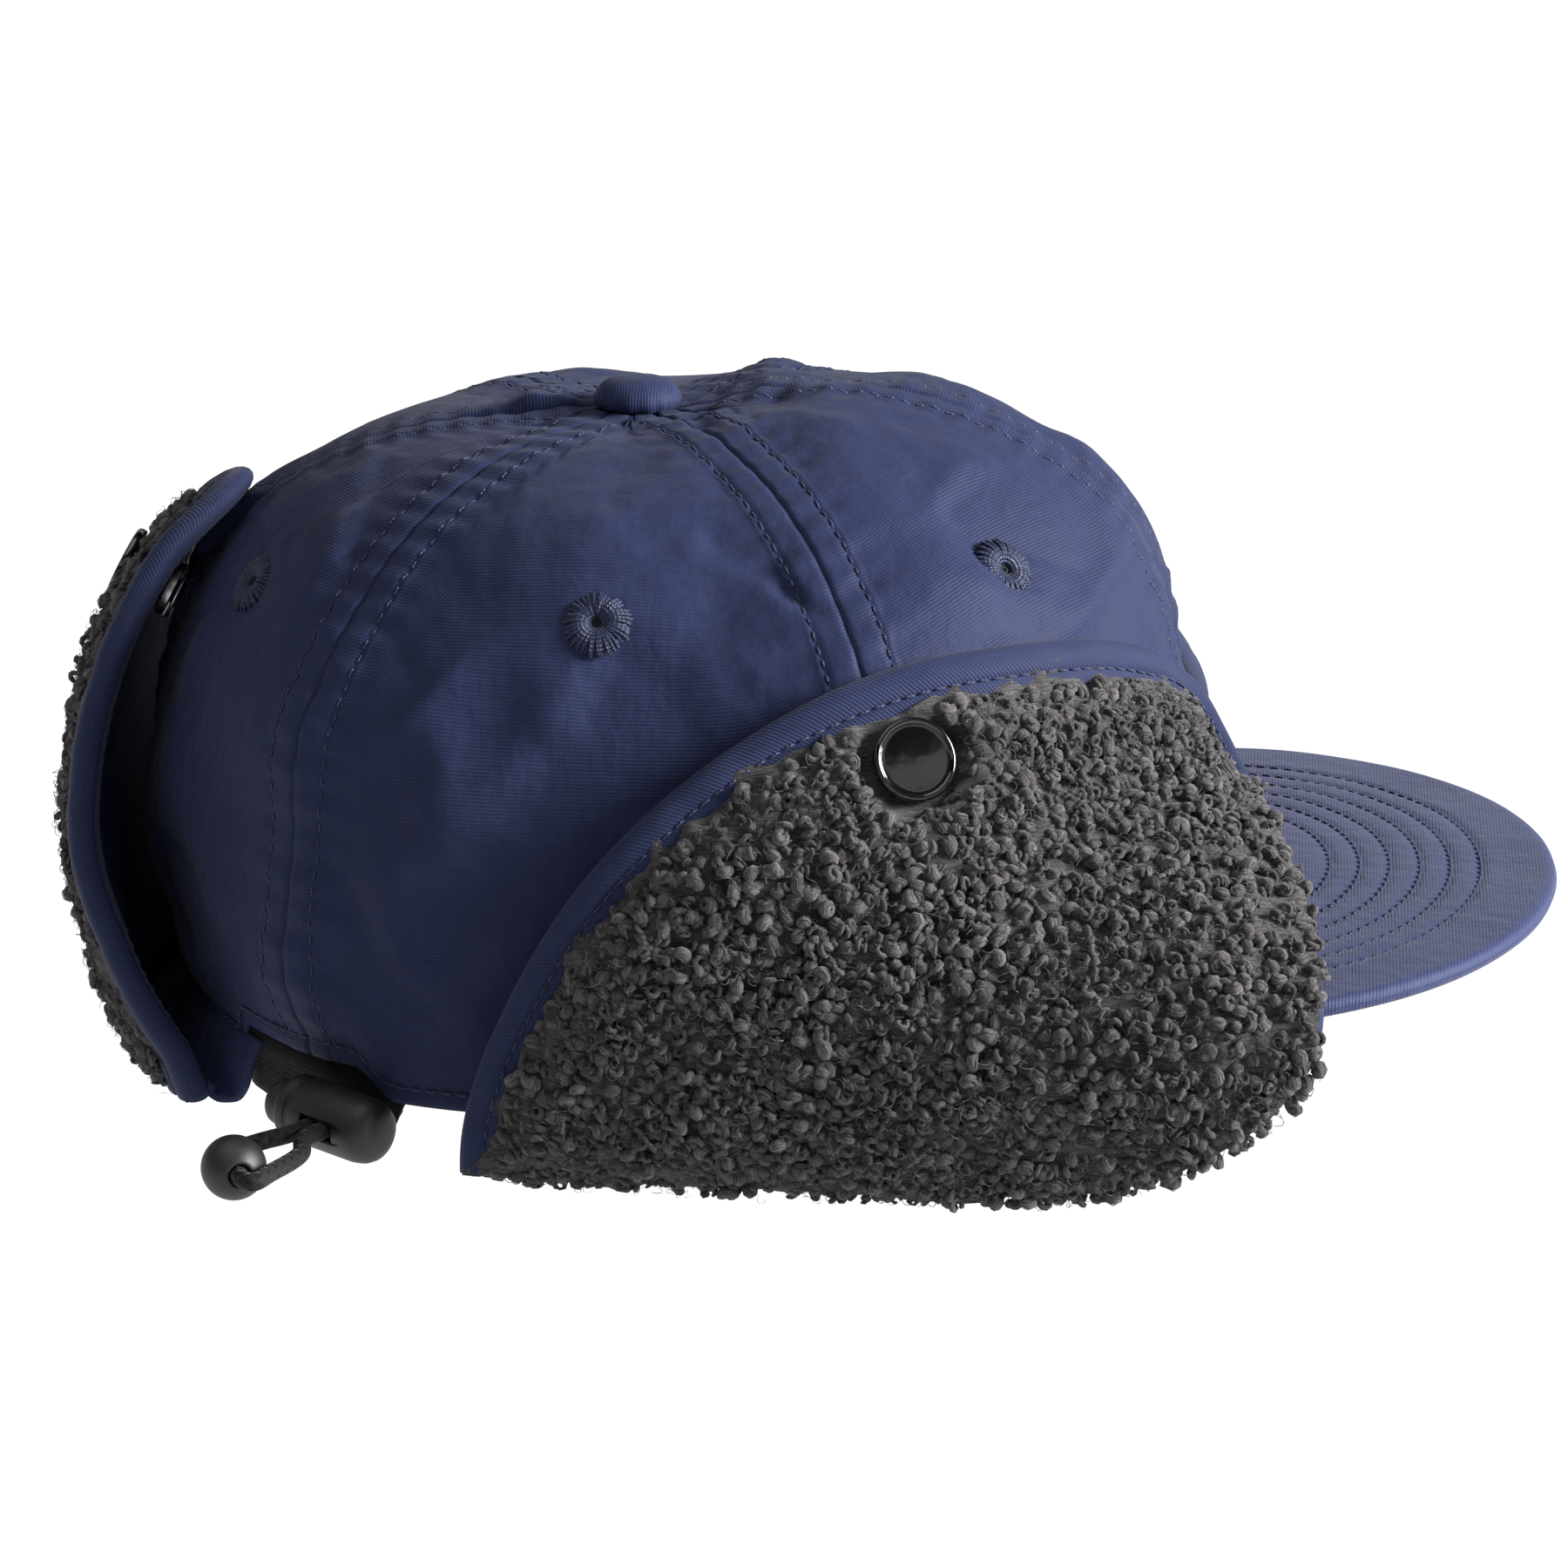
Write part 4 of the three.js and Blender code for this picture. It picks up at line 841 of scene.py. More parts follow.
class Flap:
    """A folded-up flap. Its layers are measured from a sheet of points, q along the fold, z up it."""

    def __init__(self, name, snap_name, sheet, curves, fold, snap, outward, pile_full, seed):
        self.name, self.snap_name, self.sheet, self.seed = name, snap_name, sheet, seed
        self.snap, self.outward, self.pile_full = np.array(snap, float), np.array(outward, float), pile_full
        edge = np.concatenate([bezier(*curve, 60)[:-1] for curve in curves] + [np.array([curves[-1][3]])])
        self.edge = along(edge, np.arange(0, length_of(edge), 1.5))
        bottom = np.array([curves[-1][3], *[(q, FLAP_FOOT_Z) for q in fold], curves[0][0]], float)
        self.bottom = along(bottom, np.arange(1.5, length_of(bottom), 1.5))
        self.outline = np.concatenate([self.edge, self.bottom])

    def normal(self, q, z):
        q, z = np.asarray(q, float), np.asarray(z, float)
        along_fold = self.sheet(q + 0.5, z) - self.sheet(q - 0.5, z)
        along_height = self.sheet(q, z + 0.5) - self.sheet(q, z - 0.5)
        normal = unit(np.cross(along_fold, along_height))
        return normal * np.where(normal @ self.outward < 0, -1.0, 1.0)[..., None]

    def point(self, q, z, offset):
        q, z = np.asarray(q, float), np.asarray(z, float)
        return self.sheet(q, z) + self.normal(q, z) * np.asarray(offset, float)[..., None]

    def distances(self, q, z):
        """Distance inside the free edge and inside the fold, and whether the point is inside."""
        flat = np.stack([np.ravel(q), np.ravel(z)], -1)
        free = np.min(np.linalg.norm(flat[:, None] - self.edge[None], axis=-1), axis=1)
        fold = np.min(np.linalg.norm(flat[:, None] - self.bottom[None], axis=-1), axis=1)
        x, y = self.outline[:, 0], self.outline[:, 1]
        x1, y1 = np.roll(x, -1), np.roll(y, -1)
        px, py = flat[:, :1], flat[:, 1:]
        crosses = ((y > py) != (y1 > py)) & (px < (x1 - x) * (py - y) / (y1 - y + 1e-12) + x)
        inside = np.sum(crosses, axis=1) % 2 == 1
        return free.reshape(np.shape(q)), fold.reshape(np.shape(q)), inside.reshape(np.shape(q))

    def overhang(self, q, z):
        """1 where the pile spills over the binding, along an ear flap's front and foot, else 0."""
        if self.name == "neck_flap":
            return np.zeros(np.shape(q))
        top = 66 if self.name == "ear_flap_right" else 40
        ahead = smooth((q - 112) / 22) * smooth((top - z) / 14)
        return np.maximum(ahead, smooth((q - 66) / 18) * smooth((24 - z) / 9))

    def depth(self, q, z, free, fold):
        """Height of the pile above the shell."""
        near = np.minimum(np.maximum(free - EDGE_BAND, 0), fold)
        by_edge = mix(PILE_EDGE, self.pile_full, 1 - (1 - np.clip(near / 13, 0, 1)) ** 2)
        from_snap = np.hypot(q - self.snap[0], z - self.snap[1])
        by_snap = mix(PILE_AT_SNAP, self.pile_full, smooth((from_snap - SNAP_SEAT) / 1.8))
        spill = 5.6 + 1.6 * (1 - (1 - np.clip(free / 8, 0, 1)) ** 2) - 2.6 * np.clip(-free / 1.8, 0, 1)
        depth = np.minimum(np.maximum(by_edge, spill * self.overhang(q, z)), by_snap)
        if self.name == "ear_flap_left":
            depth = depth * (1 - 0.55 * smooth((q - 104) / 14) * smooth((z - 38) / 10))
        return depth

    def polar(self, inset_edge, rings):
        """Grids of q and z from round the snap out to the outline, inset from the free edge."""
        heading = self.outline - self.snap
        reach = np.linalg.norm(heading, axis=-1)
        inset = np.where(np.arange(len(self.outline)) < len(self.edge), inset_edge, 0.0)   # none at the fold
        share = np.asarray(rings)[:, None]
        distance = mix(SNAP_HOLE, reach - inset, share)
        return np.moveaxis(self.snap + unit(heading)[None] * distance[..., None], -1, 0)


FLAPS = [
    Flap(f"ear_flap_{hand}", f"ear_snap_{hand}", ear_sheet(side), EAR_CURVES, [70, 46, 22], (76, 70.5),
         (-side, -0.3, 0.2), 9.6, seed) for hand, side, seed in (("right", 1, 21), ("left", -1, 22))]
FLAPS.append(Flap("neck_flap", "neck_snap", back_sheet, BACK_CURVES, [30, 0, -30], (0, 82), (0, 1, 0.2), 7.0, 23))

# distance in from the flap's edge and height above its sheet, round the tape's section
BINDING_SECTION = [
    (7.8, 3.9), (7.85, 4.5), (7.5, 4.85), (6.6, 4.98), (5.4, 4.98), (4.95, 4.86), (4.65, 4.6), (4.35, 4.86),
    (3.9, 5.02), (3.0, 5.05), (2.0, 4.8), (1.1, 4.3), (0.45, 3.6), (0.1, 2.7), (0.05, 1.8), (0.4, 0.9), (1.1, 0.2),
    (2.1, -0.25), (3.2, -0.44), (4.3, -0.45), (4.65, -0.25), (5.0, -0.45), (6.1, -0.5), (7.1, -0.45), (7.7, -0.35),
    (7.8, -0.1), (5.0, 0.05), (2.4, 0.4), (1.3, 1.4), (1.2, 2.6), (1.9, 3.6), (3.4, 4.2), (5.6, 4.3),
]
BINDING_STITCH = 4.65


def inward(edge, centre):
    """Unit directions in the flap's sheet, square to its edge and pointing in."""
    step = np.gradient(edge, axis=0)
    across = unit(np.stack([-step[:, 1], step[:, 0]], -1))
    return across * np.where(np.sum(across * (centre - edge), axis=-1) < 0, -1.0, 1.0)[:, None]


def make_binding(flap):
    """Folded bias tape swept round the flap's free edge, and its two rows of stitching."""
    centre = np.mean(flap.outline, axis=0)
    ways = inward(flap.edge, centre)
    section = np.array(BINDING_SECTION)
    flat = flap.edge[:, None] + ways[:, None] * section[None, :, :1]
    base = flap.point(*flap.edge.T, 0.0)
    run = travelled(base)
    wave = 0.16 * noise(np.stack([run * 0.16, run * 0, run * 0], -1)[:, None] + section[None, :, :1] * 0.05)
    height = section[None, :, 1] + wave * np.where(section[None, :, 1] > 2, 1.0, 0.4)
    low = np.maximum(flat[..., 1], 1.2)
    points = flap.point(flat[..., 0], low, height)
    rows, columns = points.shape[:2]
    quads = grid_faces(rows, columns, wrap=True)
    caps = end_caps(rows, columns)
    uv = np.stack(np.broadcast_arrays(run[:, None], travelled(section)[None]), -1)
    middle = np.mean(points[rows // 2], axis=0)
    a, b, c = (points.reshape(-1, 3)[quads[rows // 2 * columns, k]] for k in (0, 1, 2))
    if np.dot(np.cross(b - a, c - a), a - middle) < 0:
        quads, caps = quads[:, ::-1], caps[:, ::-1]
    make_mesh(f"{flap.name}_bias_tape", points, quads, "twill", flap.name,
              [f"{flap.name}_binding"], uv=uv, tail=caps)
    place = flap.edge + ways * BINDING_STITCH
    keep = place[:, 1] > 2.5
    rows = []
    for offset, way in ((4.84, 1), (-0.38, -1)):
        rows.append((flap.point(*place.T, offset)[keep], flap.normal(*place.T)[keep] * way))
    stitching(f"{flap.name}_binding_stitch", rows, flap.name)


def make_shell(flap):
    """The flap's nylon shell, which is what shows when the flap hangs down."""
    rings = np.linspace(0, 1, 30)
    q, z = flap.polar(1.6, rings)
    wave = 0.5 * flat_noise(q, z, 1 / 13) * smooth(rings * 3)[:, None]
    wave = np.minimum(wave * smooth((1 - rings) * 6)[:, None], 0.25)
    # The shell takes the darker copy of the navy, which is painted shade.
    shell = make_sheet(f"{flap.name}_cloth", flap.point(q, z, 1.0), flap.point(q, z, wave), q, z, "inside",
                       flap.name, [f"{flap.name}_shell"], wrap=True)


def make_ground(flap):
    """The lumpy ground under the pile's locks, coloured darker than them as painted shade in the crevices."""
    rings = np.linspace(0, 1, 44)
    q, z = flap.polar(mix(6.6, 1.0, flap.overhang(*flap.outline.T)), rings)
    free, fold, _ = flap.distances(q, z)
    depth = flap.depth(q, z, free, fold)
    lumps = flat_noise(q, z, 1 / 2.6)
    top = FLAP_SHELL + 0.3 + depth * 0.8 + lumps * smooth(depth / 5)
    outer, inner = flap.point(q, z, top), flap.point(q, z, 1.4)
    ground = make_sheet(f"{flap.name}_pile_ground", outer, inner, q, z, "pad", flap.name,
                        [f"{flap.name}_sherpa"], wrap=True, tones=0.5 + 0.5 * noise(np.stack([outer, inner]), 0.4))


ROW_PITCH, JITTER = 0.866 * 0.9, 0.42   # of the spacing


def scatter(flap, spacing, random):
    """Jittered, evenly spaced places on the pile, in q and z."""
    low, high = np.min(flap.outline, axis=0), np.max(flap.outline, axis=0)
    rows = np.arange(low[1] - 1, high[1], spacing * ROW_PITCH)
    spots = []
    for number, z in enumerate(rows):
        q = np.arange(low[0], high[0], spacing) + (number % 2) * spacing / 2
        spots.append(np.stack([q, np.full(len(q), z)], -1))
    spots = np.concatenate(spots)
    spots = spots + random.uniform(-JITTER, JITTER, spots.shape) * spacing
    free, fold, inside = flap.distances(*spots.T)
    from_snap = np.hypot(*(spots - flap.snap).T)
    spill = flap.overhang(*spots.T)
    keep = inside & (free > mix(EDGE_BAND + 1.7, 0.4, spill))
    keep |= ~inside & (fold < 1.2) & (free > EDGE_BAND + 2)
    keep |= ~inside & (spill > 0.5) & (free < 1.0)
    keep &= from_snap > SNAP_SEAT + 0.9
    free = np.where(inside | (spill < 0.5), free, -free)
    return spots[keep], free[keep], fold[keep]


def frames_at(flap, spots):
    """The pile's normal at each spot, and two directions square to it."""
    normal = flap.normal(*spots.T)
    tangent = unit(np.cross(normal, [0.13, 0.91, 0.4]))
    return normal, tangent, np.cross(normal, tangent)


def curl_paths(flap, spots, depth, random, steps, radius, reach, turns, sink):
    """Helical locks whose axes lie at random along the pile."""
    count = len(spots)
    normal, tangent, other = frames_at(flap, spots)
    heading = random.uniform(0, 2 * math.pi, count)
    tilt = random.uniform(-1.3, 1.3, count)
    axis = unit(tangent * np.cos(heading)[:, None] + other * np.sin(heading)[:, None] + normal * tilt[:, None])
    first = unit(normal - axis * np.sum(normal * axis, axis=-1, keepdims=True))
    second = np.cross(axis, first)
    share = np.linspace(0, 1, steps)
    twist = random.uniform(0, 2 * math.pi, count)[:, None] + (
        random.choice([-1, 1], count) * random.uniform(*turns, count))[:, None] * 2 * math.pi * share
    size = random.uniform(*radius, count)[:, None] * (0.55 + 0.45 * np.sin(math.pi * share) ** 0.6)
    span = random.uniform(*reach, count)[:, None] * (share - 0.5)
    height = FLAP_SHELL + 0.3 + depth - random.uniform(*sink, count)
    centre = flap.point(*spots.T, height)
    bow = -np.sin(math.pi * share)[None] * random.uniform(-0.6, 0.6, count)[:, None]
    return (centre[:, None] + axis[:, None] * span[..., None] + first[:, None] * (size * np.cos(twist) - bow)[..., None]
            + second[:, None] * (size * np.sin(twist))[..., None]), normal


PILE_FLOOR = 0.35


def make_pile(flap, label, tube_values, material, tones):
    """A mesh of tubes. What would reach under the hat's resting plane is pressed flat against it."""
    points, quads, caps, number, uv = tube_values
    low = points[:, 2] - PILE_FLOOR
    points[:, 2] = np.where(low < 0, PILE_FLOOR + low * 0.08, points[:, 2])
    make_mesh(f"{flap.name}_{label}", points, quads, material, flap.name, uv=uv,
              tones=tones[number], tail=caps)


def make_curls(flap, label, spacing, seed, steps, sides, radius, reach, turns, sink, thick, material):
    random = np.random.default_rng(seed)
    spots, free, fold = scatter(flap, spacing, random)
    depth = flap.depth(*spots.T, free, fold)
    clump = flat_noise(*spots.T, 1 / 7, float(seed))
    depth = depth + 0.9 * clump * smooth(depth / 6)
    paths, normal = curl_paths(flap, spots, depth, random, steps, radius, reach, turns, sink)
    share = np.linspace(0, 1, steps)
    swell = 0.45 + 0.55 * np.sin(math.pi * (0.08 + 0.84 * share)) ** 0.7
    girth = random.uniform(*thick, len(spots))[:, None] * swell
    locks = tubes(paths, girth, sides, up=normal[:, None])
    locks[4][:, 0] += locks[3] * 0.37                  # no two locks share the same stretch of the texture
    # Locks on the higher clumps get lighter tones and lower ones darker tones. This is painted shade, laid over a
    # random tone for each lock.
    tones = np.clip(0.5 + 0.25 * clump + random.uniform(-0.3, 0.3, len(spots)), 0, 1)
    make_pile(flap, label, locks, material, tones)
    return paths, girth, normal, random


def make_strands(flap, paths, girth, normal, random):
    """Two fine fibres that lie along the outer side of each lock, coloured pale as a painted highlight on that side."""
    tangent = unit(np.gradient(paths, axis=1))
    across = unit(np.cross(np.broadcast_to(normal[:, None], paths.shape), tangent))
    outward = np.cross(tangent, across)
    share = np.linspace(0, 1, paths.shape[1])
    fibres = []
    for _ in range(2):
        start, wind = random.uniform(-1.2, 1.2, len(paths)), random.uniform(-1.6, 1.6, len(paths))
        turn = (start[:, None] + wind[:, None] * (share - 0.5))[..., None]
        fibres.append(paths + (1.03 * girth + 0.03)[..., None] * (outward * np.cos(turn) + across * np.sin(turn)))
    fibres = np.concatenate(fibres)
    fine = tubes(fibres, random.uniform(0.05, 0.09, len(fibres))[:, None], 3)
    make_pile(flap, "sherpa_highlight_strands", fine, "fuzz", random.uniform(0, 1, len(fibres)))


for flap in FLAPS:
    make_shell(flap)
    make_binding(flap)
    make_ground(flap)
    nubs = make_curls(flap, "sherpa_nubs", 2.95, flap.seed, 9, 7, (0.5, 0.95), (0.7, 1.8), (0.7, 1.15), (1.3, 2.1),
                       (0.95, 1.35), "wool")
    make_strands(flap, *nubs)
    make_curls(flap, "sherpa_curls", 2.85, flap.seed + 5, 11, 5, (0.7, 1.15), (0.7, 1.7), (1.0, 1.6), (0.8, 1.6),
               (0.4, 0.65), "wool")
    # Fine fibres through the top of the pile, in the pale fibre colour of a painted highlight.
    make_curls(flap, "sherpa_highlight_fibres", 2.1, flap.seed + 10, 8, 3, (0.8, 1.4), (0.8, 2.2), (0.5, 1.1), (0.2, 1.3),
               (0.05, 0.09), "fuzz")

# ---- snaps ------------------------------------------------------------------------------------
CAP_FOOT = FLAP_STANDOFF + FLAP_SHELL + PILE_AT_SNAP + 0.9
SNAP_PROFILES = {
    "back": rounded([(0.01, -7.9), (4.4, -7.9), (4.4, -7.1), (1.6, -7.1), (1.6, 0.2), (0.01, 0.2)]),
    "stud": rounded([(0.01, 0.5), (5.5, 0.5), (5.5, 1.2), (2.1, 1.5), (2.1, 2.5), (0.01, 2.8)]),
    "socket": rounded([(2.6, 2.5), (2.6, 1.6), (5.4, 1.6), (5.4, 3.4), (2.6, 3.4), (2.6, 2.5)]),
    "cap": [(0.01, 3.8), (1.9, 3.8), (1.9, CAP_FOOT), (6.9, CAP_FOOT), (7.3, CAP_FOOT + 0.1), (7.48, CAP_FOOT + 0.5),
            (7.5, CAP_FOOT + 1.0), (7.36, CAP_FOOT + 1.45), (7.12, CAP_FOOT + 1.72), (6.85, CAP_FOOT + 1.82),
            (6.6, CAP_FOOT + 1.76), (6.42, CAP_FOOT + 1.6), (6.2, CAP_FOOT + 1.52), (5.4, CAP_FOOT + 1.6),
            (4.2, CAP_FOOT + 1.69), (2.8, CAP_FOOT + 1.76), (1.4, CAP_FOOT + 1.8), (0.02, CAP_FOOT + 1.81)],
}
for flap in FLAPS:
    spot = flap.point(*flap.snap, -FLAP_STANDOFF)
    axis = flap.normal(*flap.snap)
    for piece, profile in SNAP_PROFILES.items():
        material, slot = ("enamel", "snap_enamel") if piece == "cap" else ("steel", "steel")
        turned(f"{flap.snap_name}_{piece}_turned", profile, 64, lambda points: stand(points, spot, axis), material,
               flap.name if piece in ("cap", "socket") else "hat", [f"{flap.snap_name}_{piece}"],
               capped=piece != "socket")


# ---- the cloth of the folds -------------------------------------------------------------------
FOLD_THICKNESS, FOLD_STEPS, FOLD_SMOOTHING = 1.3, 34, 4


def fold_cloth(name, stations, hides):
    """Doubled cloth from inside the hem, along the resting plane and up into the flap."""
    rails = np.array(stations)
    share = np.linspace(0, 1, FOLD_STEPS)
    outer = np.array([along(rail, share * length_of(rail)) for rail in rails])
    for _ in range(FOLD_SMOOTHING):
        outer[:, 1:-1] = (outer[:, :-2] + 2 * outer[:, 1:-1] + outer[:, 2:]) / 4
    face = unit(np.cross(np.gradient(outer, axis=0), np.gradient(outer, axis=1)))
    face = face * np.where(face[..., 2:] > 0, -1.0, 1.0)
    outer = outer + face * (0.35 * noise(outer, 1 / 8))[..., None]
    outer[..., 2] = np.maximum(outer[..., 2], 0.05)
    piece = make_sheet(name, outer, outer - face * FOLD_THICKNESS, travelled(outer),
                       share * length_of(rails[len(rails) // 2]), "nylon", None, hides)
    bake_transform(piece)


def hem_beside(y):
    """Azimuth of the hem on the right side at a given y."""
    turns = np.linspace(0, 180, 721)
    return float(np.interp(y, crown_skin(turns, 0)[:, 1], turns))


EAR_FOLD_START, EAR_FOLD_END, EAR_FOLD_STATIONS = 1.5, 93.4, 62


def ear_fold(side, flap_name):
    """The turned-under cloth of an ear flap."""
    stations = []
    for q in np.linspace(EAR_FOLD_START, EAR_FOLD_END, EAR_FOLD_STATIONS):
        x, y = ear_foot(side, q)
        turn = hem_beside(y)
        hem = crown_skin(turn, 0.0)
        inside = crown_point(turn, 0.012, -2.0)
        foot = abs(x) + 0.5
        stations.append([
            (side * inside[0], y, inside[2] + 1.0), (side * (hem[0] + 1.2), y, hem[2] - 0.8),
            (side * (hem[0] - 1.5), y, max(1.6, hem[2] - 6.5)), (side * (hem[0] - 4.5), y, 0.4),
            (-side * (foot - 1.6), y, 0.25), (-side * foot, y, 1.2), (-side * foot, y, 3.6),
        ])
    fold_cloth(f"{flap_name}_fold_cloth", stations, [flap_name.replace("flap", "fold")])


ear_fold(1, "ear_flap_right")
ear_fold(-1, "ear_flap_left")

NECK_FOLD_KNOTS = [-56.4, -37, -18, 0, 18, 37, 56.4]


def neck_foot(q):
    return float(back_sheet(np.array(float(q)), np.array(FLAP_FOOT_Z))[1]) + 0.5


def neck_fold(number, from_q, to_q):
    """One gore of the neck flap's fold. Its bend runs square to the flap's foot there."""
    stations = []
    for q in np.linspace(from_q, to_q, 13):
        hem = BACK_REACH * (1 - BACK_TUCK) * math.sqrt(1 - (q / HALF_WIDTH) ** 2)
        foot = neck_foot(q)
        stations.append([(q, hem - 2.5, 12.0), (q, hem - 0.8, 8.6), (q, hem + 1.0, 3.0), (q, hem + 2.8, 0.4),
                         (q, foot - 1.6, 0.25), (q, foot, 1.2), (q, foot, 3.4)])
    fold_cloth(f"neck_flap_fold_cloth_{number}", stations, ["neck_fold"])


for number, (from_q, to_q) in enumerate(zip(NECK_FOLD_KNOTS, NECK_FOLD_KNOTS[1:]), 1):
    neck_fold(number, from_q, to_q)


# ---- visor ------------------------------------------------------------------------------------
def visor_height(x, y):
    forward = (y + FRONT_REACH) / (VISOR_TIP_Y + FRONT_REACH)
    ahead = np.clip((VISOR_CORNER_Y - y) / VISOR_CORNER_BLEND, 0, 1)
    camber = VISOR_CAMBER + VISOR_CORNER_DROP * (1 - ahead) ** 2
    return VISOR_MID_HEIGHT + VISOR_TIP_RISE * forward - camber * (x / VISOR_HALF_WIDTH) ** 2


def visor_edge(turn):
    y = VISOR_CORNER_Y - VISOR_LENGTH * np.maximum(np.cos(turn), 0) ** VISOR_SQUARENESS
    taper = 1 - VISOR_TAPER * smooth(1 + (y - VISOR_CORNER_Y) / 40)
    return np.stack([-VISOR_HALF_WIDTH * taper * np.sin(turn), y], -1)


VISOR_END, EDGE_STEPS = math.pi / 2 - 0.02, 900
VISOR_ROOT_TUCK = -1.5                  # the visor's root lies this far inside the crown's face
VISOR_ROWS = [14, 19.6, 25.2, 30.8, 36.4, 42.0]
edge_line = visor_edge(np.linspace(-VISOR_END, VISOR_END, EDGE_STEPS))
edge_line = along(edge_line, np.linspace(0, length_of(edge_line), EDGE_STEPS))


def visor_relief(flat):
    """Distance in from the visor's edge, and the quilting of its stitched rows."""
    distance = np.full(flat.shape[:-1], 1e9)
    for part in np.array_split(edge_line, 9):
        distance = np.minimum(distance, np.min(np.linalg.norm(flat[..., None, :] - part, axis=-1), axis=-1))
    quilt = sum(-0.32 * bump_at(distance - row, 0.75) for row in VISOR_ROWS)
    return distance, quilt


VISOR_GRID_ROWS, VISOR_GRID_COLUMNS, VISOR_EDGE_ROUNDING = 84, 150, 1.7


def visor_face(way):
    """Outer and inner face of the visor's top cover (way 1) or under cover (way -1)."""
    side = np.linspace(1, -1, VISOR_GRID_COLUMNS)
    root = crown_point(VISOR_CORNER_ANGLE * side, 0.0, VISOR_ROOT_TUCK)[:, :2]
    edge = visor_edge(side * VISOR_END)
    share = 1 - (1 - np.linspace(0, 1, VISOR_GRID_ROWS)) ** 1.15
    flat = root[None] + (edge - root)[None] * share[:, None, None]
    distance, quilt = visor_relief(flat)
    distance[-1] = 0.0
    in_edge = np.clip(distance / VISOR_EDGE_ROUNDING, 0, 1)
    round_edge = VISOR_HALF_THICKNESS * np.sqrt(np.clip(1 - (1 - in_edge) ** 2, 0.0004, 1))
    ripple = 0.18 * flat_noise(flat[..., 0], flat[..., 1], 1 / 16)
    z = visor_height(flat[..., 0], flat[..., 1]) + way * (round_edge + (quilt + ripple) * smooth(distance / 3))
    outer = np.concatenate([flat, z[..., None]], -1)
    inner = outer - np.array([0, 0, way * 0.5]) * np.clip(distance / 2, 0.02, 1)[..., None]
    return outer, inner


for way, name, node in ((1, "visor_top_cloth", "visor_top_cover"), (-1, "visor_under_cloth", "visor_under_cover")):
    outer, inner = visor_face(way)
    make_sheet(name, outer, inner, outer[..., 0], outer[..., 1], "visor", "hat", [node])

visor_stitches = []
root_corner = np.abs(crown_point(VISOR_CORNER_ANGLE, 0.0, VISOR_ROOT_TUCK)[:2])
edge_corner = np.abs(edge_line[0])
for inset in VISOR_ROWS:
    line = edge_line + inward(edge_line, np.array([0.0, VISOR_CORNER_Y])) * inset
    crown_share = np.hypot(line[:, 0] / (HALF_WIDTH + 1), line[:, 1] / (FRONT_REACH + 1.5))
    distance, _ = visor_relief(line)
    corner = np.interp(np.abs(line[:, 0]), [root_corner[0], edge_corner[0]], [-root_corner[1], -edge_corner[1]])
    keep = (crown_share > 1.0) & (distance > inset - 0.15) & (line[:, 1] < corner - 0.8)
    middle = len(line) // 2
    breaks = np.nonzero(~keep)[0]
    line = line[max(breaks[breaks < middle], default=0) + 1:min(breaks[breaks > middle], default=len(line))]
    for way in (1, -1):
        z = visor_height(line[:, 0], line[:, 1]) + way * (VISOR_HALF_THICKNESS - 0.3)
        normals = np.zeros((len(line), 3))
        normals[:, 2] = way
        visor_stitches.append((np.concatenate([line, z[:, None]], 1), normals))
stitching("visor_topstitch", visor_stitches, "hat")

# ---- hem elastic and tape ---------------------------------------------------------------------
tape_turn, tape_height = np.meshgrid(np.linspace(112, 248, 110), np.linspace(0, 1, 18))
channel = smooth((tape_turn - 112) / 3) * smooth((145 - tape_turn) / 2)
tape_height = mix(mix(11, 2.2, channel), 26, tape_height)
tape_rise = rise_at_height(tape_turn, tape_height)
tape_depth = -3.2 + 2.6 * channel * smooth((15.5 - tape_height) / 3)


def tape_face(extra):
    face = crown_point(tape_turn, tape_rise, tape_depth + extra)
    face[..., 2] = np.where(tape_height < HEM_SIDE, tape_height, face[..., 2])
    return face


make_sheet("hem_webbing", tape_face(0), tape_face(-0.7), tape_turn * 1.5, tape_height, "web", "hat",
           ["hem_tape"])

# ---- cord, lock and bead ----------------------------------------------------------------------
CORD_RADIUS, BEAD_RADIUS = 1.6, 5.75
LOCK_LENGTH, LOCK_BORE, LOCK_FLOOR = 21.0, 4.7, 1.6
PLUNGER_RADIUS, PLUNGER_FOOT, PLUNGER_STAND_OUT, PLUNGER_TRAVEL = 4.3, 1.0, 4.2, 2.5
lock_centre = np.array([-83, 44.8, 7.2])
lock_axis = unit(np.array([-0.57, -0.82, -0.04]))
cord_away = unit(np.cross(lock_axis, [0, 0, 1.0]))
cord_away = cord_away if cord_away[1] > 0 else -cord_away
bead_centre = lock_centre + cord_away * 26
bead_centre[2] = BEAD_RADIUS + 0.2
bead_axis = unit(np.array([-0.92, -0.38, 0.06]))
STRAND = CORD_RADIUS + 0.3


def from_lock(forth, away, z=lock_centre[2]):
    point = lock_centre + lock_axis * forth + cord_away * away
    return np.array([point[0], point[1], z])


def from_bead(forth, away=0.0):
    return bead_centre + bead_axis * forth + cord_away * away


cord_route = np.array([
    from_lock(STRAND, -13, 6.4), from_lock(STRAND, -7), from_lock(STRAND, 0), from_lock(STRAND, 10.5),
    from_lock(5, 14.5, 6.4), from_bead(9.4, -6), from_bead(10.6, -1.6),
    from_bead(7.2), from_bead(3), from_bead(-3), from_bead(-7), from_bead(-8.2, -3.6),
    from_lock(-STRAND - 2.2, 14.5, 6.6), from_lock(-STRAND, 10.5), from_lock(-STRAND, 0), from_lock(-STRAND, -7),
    from_lock(-STRAND, -13, 6.4),
])


CORD_STEPS = 12


